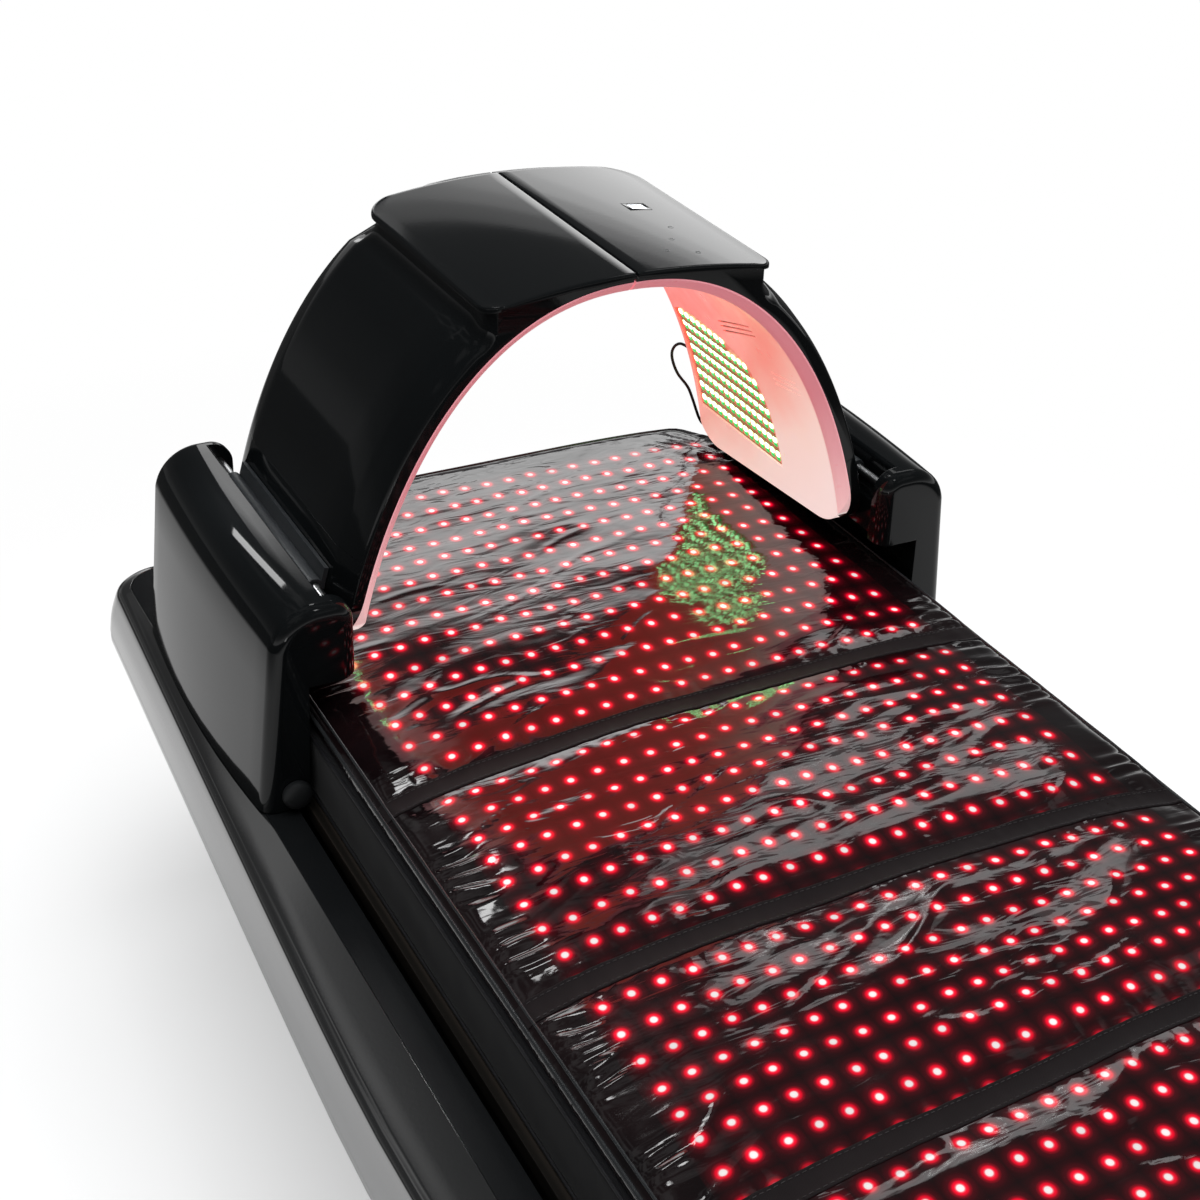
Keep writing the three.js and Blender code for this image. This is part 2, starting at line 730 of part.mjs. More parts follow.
// Outline of an upper shell at one place along Y; beyond the roof's far end it falls to the curve of the wing
function upperShellRing({ y, share }) {
  const offset = wing_offset * share;
  const side = roof_half_width - roundingInset(y - arch_near_end + cap_overhang, roof_near_radius)
    - roundingInset(roof_far_end - y, roof_far_radius);
  const beyond = y > roof_far_end + seat_gap;
  const roofAt = x => (beyond ? Math.min(roofLevel(x), curveHeightAt(x) + offset) : roofLevel(x));
  const wing_end = archAngleAtX(roof_half_width + wing_end_reach);
  const wing = archRun(archAngleAt(wing_seam_height), wing_end, wing_steps, offset);
  const [ex, ez] = wing.at(-1);
  const bend_z = ez + (ex - side) * fillet_bend_share;
  const end_z = Math.min(ez + roof_fillet_rise, roofAt(side) - roof_fillet_margin);
  const fillet = fillet_shares_along.map(t => {
    const [near, middle, far] = [(1 - t) ** 2, 2 * t * (1 - t), t ** 2];
    return [near * ex + (middle + far) * side, near * ez + middle * Math.min(bend_z, end_z) + far * end_z];
  });
  const roof = roofPlaces(side).reverse().map(x => [x, roofAt(x)]);
  return [...wing, ...fillet, ...roof, ...upperRun(seat_gap)].map(([x, z]) => [x, y, z]);
}

const pocket_seam_setback = 10;
const pocket_roof_setback = 22;

function upperShell() {
  const extra = [bevel_places[2] + roof_corner_step, bevel_places[2] + roof_far_radius];
  const body = loft(edgeStations(extra).map(upperShellRing), inXZ);
  const start = archAngleAt(wing_seam_height + pocket_seam_setback);
  const roof_x = roof_half_width - pocket_roof_setback;
  const middle = half_gap + arch_skin;
  const wing = archRun(start, archAngleAtX(roof_x), 8, wing_offset - arch_skin);
  const roof = [1, 0.5, 0].map(share => {
    const x = mix(middle, roof_x, share);
    return [x, roofLevel(x) - arch_skin];
  });
  const inner = archRun(archAngleAtX(middle), start, 10, -cut_overrun);
  inner[0][0] = middle;
  const room = bevel_places.at(-1);
  const pocket = prismAlongY([...wing, ...roof, ...inner], arch_near_end + room, arch_far_end - room);
  return cut(body, pocket);
}

// Lower shell of a wing: from the seam down to the slanted, rounded tip
const tip_near_radius = 70;
const tip_far_radius = 50;
const tip_near_place = 45;
const tip_above_mat = 34;
const tip_slope_share = 0.085;
const tip_overrun = 6;
const offset_growth_share = 1.5;
const tip_near_height = mat_top_height + tip_above_mat;

function tipLevel(y) {
  return tip_near_height - tip_slope_share * (y - arch_near_end - tip_near_place);
}

const tip_low_height = tipLevel(arch_far_end) - tip_overrun;

function tongueOutline(grow) {
  const near = arch_near_end - grow;
  const far = arch_far_end + grow;
  const top = cap_centre_top + cut_overrun;
  const stretch = Math.hypot(1, tip_slope_share);
  const slope = THREE.MathUtils.radToDeg(Math.atan(tip_slope_share));
  const near_y = near + tip_near_radius;
  const far_y = far - tip_far_radius;
  const near_z = tipLevel(near_y) - grow + tip_near_radius * stretch;
  const far_z = tipLevel(far_y) - grow + tip_far_radius * stretch;
  return [...arc(near_y, near_z, tip_near_radius, 180, 270 - slope, 5),
    ...arc(far_y, far_z, tip_far_radius, 270 - slope, 360, 6), [far, top], [near, top]];
}

// Offset of the lower shell's outer face, growing from the tip up to the full wing offset
function lowerOffset(share_up) {
  return mix(tip_offset, wing_offset, Math.min(1, share_up * offset_growth_share));
}

function lowerShellRing({ y, share }) {
  const from = archAngleAt(tip_low_height);
  const to = archAngleAt(wing_seam_height - seat_gap);
  const outer = Array.from({ length: lower_steps + 1 }, (_, i) =>
    archPoint(mix(from, to, i / lower_steps), share * lowerOffset(i / lower_steps)));
  return [...outer, ...lowerRun(seat_gap)].map(([x, z]) => [x, y, z]);
}

const lower_pocket_rise = 10;

function lowerShell() {
  const body = loft(edgeStations([]).map(lowerShellRing), inXZ);
  const start = archAngleAt(tip_near_height + lower_pocket_rise);
  const end = archAngleAt(wing_seam_height - seat_gap - arch_skin);
  const hollow = [...archRun(start, end, 5, tip_offset - arch_skin), ...archRun(end, start, 5, -cut_overrun)];
  const room = tip_far_radius;
  const pocket = prismAlongY(hollow, arch_near_end + room, arch_far_end - room);
  const tongue = prismAlongX(tongueOutline(0), 0, arch_half_width + wing_offset + cut_overrun);
  return shared(cut(body, pocket), tongue);
}

// Liner: a shallow tray with sloped flanges, a window for the light board and two groups of vent slits
const liner_depth = 14;
const liner_edge_depth = 1.5;
const liner_wall = 3;
const near_flange = 14;
const far_flange = 10;
const tray_rise = 9;
const liner_steps = 16;
const window_near_place = 141;
const window_far_setback = 16;
const window_above_mat = 66;
const window_height = 161;
const window_along_shares = [0, 0, 0.024, 0.048, 0.095, 0.152, 0.229, 0.42, 0.705, 0.895, 1, 1];
const window_up_shares = [0, 0.087, 0.385, 0.553, 0.708, 0.814, 0.894, 0.957, 1, 0.975, 0.92, 0];
const slit_width = 2.4;
const slit_groups = [
  { along: 149, above_mat: 268, half_run: 56, rise_share: 0.36, pitch: 7.2 },
  { along: 71, above_mat: 223, half_run: 32, rise_share: 0.2, pitch: 8.5 },
];
const window_near = arch_near_end + window_near_place;
const window_far = arch_far_end - window_far_setback;
const window_low = mat_top_height + window_above_mat;
const window_high = window_low + window_height;

function linerRing(y, depth) {
  const outer = [...upperRun(0), ...lowerRun(0)];
  const inner = [...upperRun(-depth), ...lowerRun(-depth)].reverse();
  return [...outer, ...inner].map(([x, z]) => [Math.max(x, half_gap), y, z]);
}

function curvedPlate(from, to, steps, inner_offset, outer_offset, y0, y1) {
  const section = [...archRun(from, to, steps, outer_offset), ...archRun(to, from, steps, inner_offset)];
  return prismAlongY(section, y0, y1);
}

function ventSlits() {
  const slits = [];
  for (const { along, above_mat, half_run, rise_share, pitch } of slit_groups) {
    const y = arch_near_end + along;
    const rise = half_run * rise_share;
    for (const row of [-1, 0, 1]) {
      const z = mat_top_height + above_mat + row * pitch;
      slits.push(prismAlongX([[y - half_run, z + rise], [y + half_run, z - rise],
        [y + half_run, z - rise + slit_width], [y - half_run, z + rise + slit_width]], 0, arch_half_width));
    }
  }
  return slits;
}

function liner() {
  const rings = [[arch_near_end, liner_edge_depth], [arch_near_end + near_flange, liner_depth],
    [arch_far_end - far_flange, liner_depth], [arch_far_end, liner_edge_depth]];
  const body = loft(rings.map(([y, depth]) => linerRing(y, depth)), inXZ);
  const tray = curvedPlate(archAngleAtX(half_gap + liner_wall), archAngleAt(tip_near_height + tray_rise),
    liner_steps, liner_wall - liner_depth, cut_overrun, arch_near_end + near_flange + liner_wall,
    arch_far_end - far_flange - liner_wall);
  const opening = window_along_shares.map((share, i) => [mix(window_near, window_far, share),
    mix(window_low, window_high, window_up_shares[i])]);
  const window_cut = prismAlongX(opening, 0, arch_half_width);
  const tongue = prismAlongX(tongueOutline(-seat_gap), -cut_overrun, arch_half_width + cut_overrun);
  return shared(cut(body, tray, window_cut, ...ventSlits()), tongue);
}

// Light board behind the window of the liner
const board_thickness = 2.5;
const board_lap = 6;
const board_far_lap = 2;
const board_steps = 7;

function lightBoard() {
  const seat = liner_wall - liner_depth + seat_gap;
  const [high, low] = [archAngleAt(window_high + board_lap), archAngleAt(window_low - board_lap)];
  return curvedPlate(high, low, board_steps, seat, seat + board_thickness, window_near - board_lap,
    window_far + board_far_lap);
}

// Top cap over each half, thin at its rim
const cap_rim_drop = 3;
const cap_rim_width = 5;
const cap_near_places = [0, 5, 12, 25];
const cap_far_places = [0, 6, 26, 45];
const cap_far_overhang = 1;
const cap_near_end = arch_near_end - cap_overhang;
const cap_far_end = roof_far_end + cap_far_overhang;

function capRing(y) {
  const edge = cap_half_width - roundingInset(y - cap_near_end, roof_near_radius)
    - roundingInset(cap_far_end - y, roof_far_radius);
  const top = roofPlaces(edge - cap_rim_width).map(x => [x, capTop(x)]);
  const under = roofPlaces(edge).reverse().map(x => [x, capTop(x) - cap_thickness]);
  return [...top, [edge, capTop(edge) - cap_rim_drop], ...under].map(([x, z]) => [x, y, z]);
}

function archCap() {
  const stations = [...cap_near_places.map(place => cap_near_end + place),
    ...cap_far_places.map(place => cap_far_end - place).reverse()];
  return loft(stations.map(capRing), inXZ);
}

// Display in the right cap
const display_width = 30;
const display_length = 24;
const display_thickness = 2;
const display_x = 107;
const display_place = 193;

function displayBox(grow, bottom, top) {
  const level = capTop(display_x);
  const y = arch_near_end + display_place;
  return box(display_x - display_width / 2 - grow, display_x + display_width / 2 + grow,
    y - display_length / 2 - grow, y + display_length / 2 + grow, level + bottom, level + top);
}

// Hinge arm of a half: barrel round the pin and a pad on the lower shell
const barrel_end_gap = 12;
const pad_thickness = 6;
const pad_seat_gap = 0.9;
const pad_half_height = 12;
const pad_steps = 5;
const arm_thickness = 10;

function hingeArm() {
  const near = arch_near_end + bevel_places.at(-1);
  const far = arch_far_end - bevel_places.at(-1);
  const low = archAngleAt(hinge_height - pad_half_height);
  const high = archAngleAt(hinge_height + pad_half_height);
  const [tip, seam] = [archAngleAt(tip_low_height), archAngleAt(wing_seam_height - seat_gap)];
  const padPoint = (i, extra) => {
    const angle = mix(low, high, i / pad_steps);
    return archPoint(angle, lowerOffset((tip - angle) / (tip - seam)) + extra);
  };
  const inner = Array.from({ length: pad_steps + 1 }, (_, i) => padPoint(i, pad_seat_gap));
  const outer = Array.from({ length: pad_steps + 1 }, (_, i) => padPoint(pad_steps - i, pad_thickness));
  const pad = prismAlongY([...inner, ...outer], near, far);
  const [arm_x] = padPoint(1, pad_thickness / 2);
  const arm = box(arm_x, hinge_x, near + barrel_end_gap, far - barrel_end_gap,
    hinge_height - arm_thickness / 2, hinge_height + arm_thickness / 2);
  const barrel = cylinderAlongY(hinge_x, hinge_height, barrel_radius, near, far);
  const bore = cylinderAlongY(hinge_x, hinge_height, hinge_pin_radius + seat_gap, near - cut_overrun,
    far + cut_overrun);
  return cut(joined(barrel, arm, pad), bore);
}

// Magnet of the catch between the halves, on the middle wall of the upper shell
const magnet_thickness = 6;
const magnet_height = 10;
const magnet_length = 60;
const magnet_drop = 1;

function catchMagnet() {
  const x = half_gap + arch_skin + seat_gap;
  const top = roofLevel(x) - arch_skin - magnet_drop;
  const middle = (arch_near_end + arch_far_end) / 2;
  return box(x, x + magnet_thickness, middle - magnet_length / 2, middle + magnet_length / 2,
    top - magnet_height, top);
}

// Lead from the back of the right half down behind the pedestal's leg. Each place is a share of the way
// across from one gland to the other, a distance beyond the arch's far end and a drop below the upper gland
const lead_radius = 2;
const lead_side_steps = 7;
const lead_steps = 50;
const lead_route = [
  { across: 0.000, beyond: 7, drop: 0 }, { across: 0.000, beyond: 12, drop: 0 },
  { across: -0.012, beyond: 17.5, drop: -0.6 }, { across: -0.046, beyond: 22.8, drop: -3.2 },
  { across: -0.100, beyond: 26.2, drop: -7 }, { across: -0.166, beyond: 27.4, drop: -9.9 },
  { across: -0.234, beyond: 27, drop: -8.3 }, { across: -0.278, beyond: 26, drop: -2.4 },
  { across: -0.286, beyond: 25, drop: 5.1 }, { across: -0.269, beyond: 24, drop: 14 },
  { across: -0.236, beyond: 23.3, drop: 23.4 }, { across: -0.190, beyond: 22.9, drop: 32.8 },
  { across: -0.133, beyond: 22.8, drop: 41.1 }, { across: -0.072, beyond: 22.8, drop: 49.1 },
  { across: -0.011, beyond: 23.2, drop: 58.6 }, { across: 0.069, beyond: 24.2, drop: 77.1 },
  { across: 0.144, beyond: 26.5, drop: 95.1 }, { across: 0.220, beyond: 30, drop: 111 },
  { across: 0.310, beyond: 34.8, drop: 123.5 }, { across: 0.425, beyond: 40, drop: 130.6 },
  { across: 0.558, beyond: 45, drop: 133.6 }, { across: 0.680, beyond: 50.5, drop: 137.4 },
  { across: 0.780, beyond: 55, drop: 147 }, { across: 0.855, beyond: 57.5, drop: 165 },
  { across: 0.915, beyond: 58.5, drop: 187 }, { across: 0.958, beyond: 57.5, drop: 206 },
  { across: 0.986, beyond: 53, drop: 218.4 }, { across: 1.000, beyond: 44.5, drop: 223.1 },
  { across: 1.000, beyond: 36, drop: 223.4 },
];
const lead_above_mat = 126;
const lead_seat_offset = 7;
const lead_foot_setback = 34;
const gland_radius = 5;

function leadPoints() {
  const [from_x, from_z] = archPoint(archAngleAt(mat_top_height + lead_above_mat), lead_seat_offset);
  const to_x = wall_foot_x - lead_foot_setback;
  return lead_route.map(({ across, beyond, drop }) =>
    new THREE.Vector3(mix(from_x, to_x, across), arch_far_end + beyond, from_z - drop));
}

function leadTube() {
  const path = new THREE.CatmullRomCurve3(leadPoints(), false, 'centripetal');
  const section = new THREE.Shape(arc(0, 0, lead_radius, 0, 315, lead_side_steps)
    .map(([u, v]) => new THREE.Vector2(u, v)));
  return new THREE.ExtrudeGeometry(section, { steps: lead_steps, bevelEnabled: false, extrudePath: path });
}

function addLead() {
  const points = leadPoints();
  const [start, end] = [points[0], points.at(-1)];
  addPart('arch_lead', leadTube(), 'black_rubber');
  addPart('arch_lead_gland', cylinderAlongY(start.x, start.z, gland_radius, arch_far_end + seat_gap,
    start.y - seat_gap, small_round_sides), 'black_rubber');
  addPart('pedestal_lead_gland', cylinderAlongY(end.x, end.z, gland_radius, carriage_far_end + seat_gap,
    end.y - seat_gap, small_round_sides), 'black_rubber');
}

// Mains inlet with its rocker, in the head end of the base, and the power supply
const inlet_x = -250;
const inlet_width = 74;
const inlet_height = 30;
const inlet_drop = 42;
const inlet_setback = 5;
const inlet_depth = 36;
const inlet_hole_depth = 144;
const rocker_width = 14;
const rocker_height = 22;
const rocker_depth = 7;
const rocker_offset = 22;
const rocker_bay_depth = 13;
const rocker_tilt_room = 1.6;
const rocker_depths = [7, 4, 3, 1.5, -1.5, 2, 7];
const rocker_height_shares = [-0.6, -1, -1, 0, 1, 1, 0.6];
const socket_width = 28;
const socket_height = 20;
const socket_depth = 18;
const socket_margin = 6;
const inlet_level = deck_top - inlet_drop;
const inlet_face = base_half_length + side_lean - inlet_setback;

function inletBox(grow, y0, y1) {
  return box(inlet_x - inlet_width / 2 - grow, inlet_x + inlet_width / 2 + grow, y0, y1,
    inlet_level - inlet_height / 2 - grow, inlet_level + inlet_height / 2 + grow);
}

function mainsInlet() {
  const body = inletBox(0, inlet_face - inlet_depth, inlet_face);
  const sx = inlet_x - inlet_width / 2 + socket_width / 2 + socket_margin;
  const socket = box(sx - socket_width / 2, sx + socket_width / 2, inlet_face - socket_depth,
    inlet_face + cut_overrun, inlet_level - socket_height / 2, inlet_level + socket_height / 2);
  const rx = inlet_x + rocker_offset;
  const bay_half_height = rocker_height / 2 + rocker_tilt_room;
  const bay = box(rx - rocker_width / 2 - running_gap, rx + rocker_width / 2 + running_gap,
    inlet_face - rocker_bay_depth, inlet_face + cut_overrun, inlet_level - bay_half_height,
    inlet_level + bay_half_height);
  return cut(body, socket, bay);
}

function mainsRocker() {
  const rx = inlet_x + rocker_offset;
  const outline = rocker_depths.map((depth, i) => [inlet_face - depth,
    inlet_level + rocker_height_shares[i] * rocker_height / 2]);
  return prismAlongX(outline, rx - rocker_width / 2, rx + rocker_width / 2);
}

const supply_half_width = 110;
const supply_length = 150;
const supply_height = 62;

function powerSupply() {
  return box(-supply_half_width, supply_half_width, cross_member_y - supply_length / 2,
    cross_member_y + supply_length / 2, beam_top + seat_gap, beam_top + seat_gap + supply_height);
}

// Mattress and light mat: crowned across, drooping at the four corners
const mattress_edge_height = 72;
const mattress_side_draw = 7;
const mattress_waist_swell = 4;
const mattress_toe_rise = 12;
const mattress_toe_draw = 2;
const mattress_end_draw = 8;
const mat_edge_thickness = 9;
const mat_crown = 16;
const corner_droop = 38;
const droop_start_share = 0.79;
const strip_dip = 4;
const strip_slack = 28;
const across_shares = [1, 0.92, 0.79, 0.55, 0.28, 0];
const pad_end_places = [0, 5, 28, 60, 90];
const mid_station_shares = [0.55, 0, -0.55];
const strip_shares = [0.345, -0.027, -0.29, -0.555, -0.81];

// Places across the pads, from the right edge to the left
function placesAcross() {
  const right = across_shares.map(share => share * mat_half_width);
  return [...right, ...right.slice(0, -1).reverse().map(x => -x)];
}

// Fall of the pads' upper faces from their level middle
function padFall(x, y) {
  const across = Math.min(1, Math.abs(x) / mat_half_width);
  const corner = Math.max(0, (across - droop_start_share) / (1 - droop_start_share)) ** 1.5;
  const along = Math.max(0, 1 - (mat_half_length - Math.abs(y)) / pad_end_places.at(-1)) ** 2;
  return mat_crown * across ** 4 + corner_droop * corner * along;
}

function padBody(stations, profile) {
  return loft(stations.map(y => profile(y).map(([x, z]) => [x, y, z])), inXZ);
}

function endStations() {
  return pad_end_places.map(place => mat_half_length - place);
}

function mattress() {
  const bottom = deck_top + seat_gap;
  const mid = mid_station_shares.map(share => share * mat_half_length);
  const stations = [...endStations(), ...mid, ...endStations().reverse().map(y => -y)];
  return padBody(stations, y => {
    const away = mat_half_length - Math.abs(y);
    const narrow = mattress_end_draw * Math.max(0, 1 - away / pad_end_places[2]) ** 2;
    const edge = mattress_half_width - narrow;
    const waist = edge - mattress_side_draw;
    const side_top = bottom + mattress_edge_height - padFall(mat_half_width, y) + mat_crown;
    const side = [[waist, bottom], [edge - mattress_toe_draw, bottom + mattress_toe_rise],
      [waist + mattress_waist_swell, (bottom + side_top) / 2], [edge, side_top]];
    const top = placesAcross().map(x => [Math.sign(x) * Math.min(Math.abs(x), edge - mattress_toe_draw),
      mat_top_height - mat_thickness - seat_gap - padFall(x, y)]);
    return [...side, ...top, ...side.map(([x, z]) => [-x, z]).reverse()].reverse();
  });
}

function stripPlaces() {
  return strip_shares.map(share => share * mat_half_length);
}

// Places along the mat: both ends, each stitched strip and the swell between strips
function matStations() {
  const end = mat_half_length - pad_end_places.at(-1);
  const limits = [end, ...stripPlaces(), -end];
  const places = [];
  for (let i = 0; i + 1 < limits.length; i += 1) {
    const slack = Math.min(strip_slack, (limits[i] - limits[i + 1]) / 6);
    if (i > 0) places.push(limits[i], limits[i] - slack);
    places.push((limits[i] + limits[i + 1]) / 2);
    if (i + 2 < limits.length) places.push(limits[i + 1] + slack);
  }
  return [...endStations(), ...places, ...endStations().reverse().map(y => -y)];
}

function lightMat() {
  const strips = stripPlaces();
  const edge_fall = mat_thickness - mat_edge_thickness;
  return padBody(matStations(), y => {
    const at_end = Math.abs(y) === mat_half_length;
    const fall = at_end ? edge_fall : strips.includes(y) ? strip_dip : 0;
    const top = placesAcross().map(x => [x,
      mat_top_height - padFall(x, y) - (Math.abs(x) === mat_half_width ? edge_fall : fall)]);
    const under = placesAcross().reverse().map(x => [x, mat_top_height - mat_thickness - padFall(x, y)]);
    return [...top, ...under];
  });
}

// Assembly
function addBase() {
  const shell = sideShell();
  const inlet_hole = inletBox(seat_gap, base_half_length - inlet_hole_depth, inlet_face + cut_overrun);
  addPart('side_shell_right', shell, 'gloss_black');
  addPart('side_shell_left', cut(mirrored(shell), inlet_hole), 'gloss_black');
  addPair('skirt', skirtShell(), 'gloss_black');
  addFrame();
  addDecks();
  addPair('guide_rail', guideRail(), 'bright_steel');
  addPart('power_supply', powerSupply(), 'dark_steel');
  addPart('mains_inlet', mainsInlet(), 'black_rubber');
  addPart('mains_rocker', mainsRocker(), 'black_rubber');
  addPart('mattress', mattress(), 'grey_fabric');
  addPart('light_mat', lightMat(), 'led_mat');
}

function addCarriages() {
  addPair('pedestal', pedestalShell(), 'gloss_black');
  addPair('carriage_bracket', carriageBracket(), 'dark_steel');
  addPair('slide_block', slideBlock(), 'bright_steel');
  addPair('hinge_pin', hingePin(), 'bright_steel');
  addPair('bumper', bumper(), 'black_rubber');
}

function addArch() {
  const cap = archCap();
  addPair('arch_shell', upperShell(), 'gloss_black');
  addPair('wing_shell', lowerShell(), 'gloss_black');
  addPair('liner', liner(), 'pink_liner');
  addPair('light_board', lightBoard(), 'led_board');
  addPair('hinge_arm', hingeArm(), 'dark_steel');
  addPair('catch_magnet', catchMagnet(), 'bright_steel');
  addPart('arch_cap_left', mirrored(cap), 'gloss_black');
  addPart('arch_cap_right', cut(cap, displayBox(seat_gap, -display_thickness, cut_overrun)), 'gloss_black');
  addPart('display_window', displayBox(0, seat_gap - display_thickness, 0), 'display_glass');
}

addBase();
addCarriages();
addArch();
addLead();

export default object;
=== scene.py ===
"""Looks of the red light therapy bed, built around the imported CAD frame.

Blender works in metres. Sizes here are in millimetres, and MM turns them into metres.
"""

import math

import bmesh
import bpy
import numpy as np
from mathutils import Matrix, Vector
from mathutils.bvhtree import BVHTree


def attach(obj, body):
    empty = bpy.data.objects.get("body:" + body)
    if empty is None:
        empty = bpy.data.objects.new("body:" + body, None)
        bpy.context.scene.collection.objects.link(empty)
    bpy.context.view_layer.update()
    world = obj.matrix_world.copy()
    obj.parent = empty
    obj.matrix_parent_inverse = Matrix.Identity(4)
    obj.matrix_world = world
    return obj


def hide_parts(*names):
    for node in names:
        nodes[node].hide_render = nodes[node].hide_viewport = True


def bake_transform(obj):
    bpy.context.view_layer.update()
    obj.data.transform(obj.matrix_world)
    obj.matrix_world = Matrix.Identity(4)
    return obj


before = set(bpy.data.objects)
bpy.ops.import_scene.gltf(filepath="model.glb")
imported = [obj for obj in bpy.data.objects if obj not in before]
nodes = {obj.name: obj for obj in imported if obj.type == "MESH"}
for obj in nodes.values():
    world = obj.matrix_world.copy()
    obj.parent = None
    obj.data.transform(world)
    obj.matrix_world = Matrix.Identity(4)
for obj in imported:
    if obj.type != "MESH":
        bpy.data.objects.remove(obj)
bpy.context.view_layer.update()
MM = 0.001

# Camera
cam_data = bpy.data.cameras.new("camera")
cam_data.sensor_width = 36
cam_data.lens = 57.697
cam_data.clip_start, cam_data.clip_end = 0.05, 60
camera = bpy.data.objects.new("camera", cam_data)
bpy.context.scene.collection.objects.link(camera)
right = Vector((0.88447032, -0.46496822, 0.03894614))
down = Vector((-0.21183879, -0.47452612, -0.8543707))
ahead = Vector((0.41573618, 0.74741523, -0.51820257))
spot = Vector((-0.9635, -1.1749, 1.7565))
camera.matrix_world = Matrix((
    (right.x, -down.x, -ahead.x, spot.x),
    (right.y, -down.y, -ahead.y, spot.y),
    (right.z, -down.z, -ahead.z, spot.z),
    (0, 0, 0, 1),
))
bpy.context.scene.camera = camera


# Mesh tools
def object_of(name, verts, faces, smooth=40):
    """Mesh object from points in millimetres, smooth except at edges sharper than the angle."""
    mesh = bpy.data.meshes.new(name)
    mesh.from_pydata([tuple(c * MM for c in v) for v in verts], [], [tuple(f) for f in faces])
    mesh.validate()
    bm = bmesh.new()
    bm.from_mesh(mesh)
    bmesh.ops.remove_doubles(bm, verts=bm.verts, dist=1e-6)
    bmesh.ops.recalc_face_normals(bm, faces=bm.faces)
    bm.to_mesh(mesh)
    bm.free()
    obj = bpy.data.objects.new(name, mesh)
    bpy.context.scene.collection.objects.link(obj)
    shade(obj, smooth)
    return obj


def shade(obj, smooth):
    mesh = obj.data
    mesh.polygons.foreach_set("use_smooth", [smooth > 0] * len(mesh.polygons))
    if smooth > 0:
        mesh.set_sharp_from_angle(angle=math.radians(smooth))


def loft_faces(count, rings):
    """Faces of a run of closed rings with a cap at each end."""
    faces = []
    for r in range(rings - 1):
        for i in range(count):
            j = (i + 1) % count
            a, b = r * count, (r + 1) * count
            faces.append((a + i, a + j, b + j, b + i))
    faces.append(tuple(reversed(range(count))))
    faces.append(tuple((rings - 1) * count + i for i in range(count)))
    return faces


def closed_faces(count, rings):
    """Faces of a closed run of closed rings."""
    return [(r * count + i, r * count + (i + 1) % count, (r + 1) % rings * count + (i + 1) % count,
             (r + 1) % rings * count + i) for r in range(rings) for i in range(count)]


def loft(name, rings, smooth=40):
    verts = [p for ring in rings for p in ring]
    return object_of(name, verts, loft_faces(len(rings[0]), len(rings)), smooth)


def fractions(steps):
    return [i / steps for i in range(steps + 1)]


def turns(sides):
    return [2 * math.pi * k / sides for k in range(sides)]


def arc(cx, cy, radius, start, end, steps):
    return [(cx + radius * math.cos(math.radians(start + (end - start) * s)),
             cy + radius * math.sin(math.radians(start + (end - start) * s))) for s in fractions(steps)]


def rounded_box(half_x, half_y, radius, steps):
    """Outline of a box with rounded corners."""
    x, y = half_x - radius, half_y - radius
    points = []
    for sign_x, sign_y, start in ((1, 1, 0), (-1, 1, 90), (-1, -1, 180), (1, -1, 270)):
        points += arc(sign_x * x, sign_y * y, radius, start, start + 90, steps)
    return points


def mix(a, b, share):
    return a + (b - a) * share


def smooth_step(a, b, x):
    t = np.clip((x - a) / (b - a), 0, 1)
    return t * t * (3 - 2 * t)


def curve_through(points, per_span):
    """Centripetal curve through points, as the CAD source draws the lead."""
    p = [np.array(q, float) for q in points]
    p = [2 * p[0] - p[1]] + p + [2 * p[-1] - p[-2]]
    out = []
    for i in range(1, len(p) - 2):
        k = [0.0]
        for j in range(3):
            k.append(k[-1] + max(1e-6, np.linalg.norm(p[i + j] - p[i + j - 1])) ** 0.5)
        for s in range(per_span):
            t = mix(k[1], k[2], s / per_span)
            a1 = (k[1] - t) / (k[1] - k[0]) * p[i - 1] + (t - k[0]) / (k[1] - k[0]) * p[i]
            a2 = (k[2] - t) / (k[2] - k[1]) * p[i] + (t - k[1]) / (k[2] - k[1]) * p[i + 1]
            a3 = (k[3] - t) / (k[3] - k[2]) * p[i + 1] + (t - k[2]) / (k[3] - k[2]) * p[i + 2]
            b1 = (k[2] - t) / (k[2] - k[0]) * a1 + (t - k[0]) / (k[2] - k[0]) * a2
            b2 = (k[3] - t) / (k[3] - k[1]) * a2 + (t - k[1]) / (k[3] - k[1]) * a3
            out.append((k[2] - t) / (k[2] - k[1]) * b1 + (t - k[1]) / (k[2] - k[1]) * b2)
    out.append(p[-2])
    return [tuple(q) for q in out]


def tube_rings(points, radius, sides):
    """Rings round a path, turned as little as possible from one to the next."""
    p = np.array(points, float)
    tangent = np.gradient(p, axis=0)
    tangent /= np.linalg.norm(tangent, axis=1)[:, None]
    side = np.cross(tangent[0], (0.31, 0.2, 0.93))
    side /= np.linalg.norm(side)
    rings = []
    for q, t in zip(p, tangent):
        side = side - t * (side @ t)
        side /= np.linalg.norm(side)
        up = np.cross(t, side)
        rings.append([tuple(q + radius * (side * math.cos(a) + up * math.sin(a))) for a in turns(sides)])
    return rings


def ring_tube(name, points, radius, sides):
    """Closed tube."""
    rings = tube_rings(points + points[:1], radius, sides)[:-1]
    return object_of(name, [p for ring in rings for p in ring], closed_faces(sides, len(rings)), 60)


def prism_y(name, outline, y0, y1):
    return loft(name, [[(x, y, z) for x, z in outline] for y in (y0, y1)], 30)


def prism_x(name, outline, x0, x1):
    return loft(name, [[(x, y, z) for y, z in outline] for x in (x0, x1)], 30)


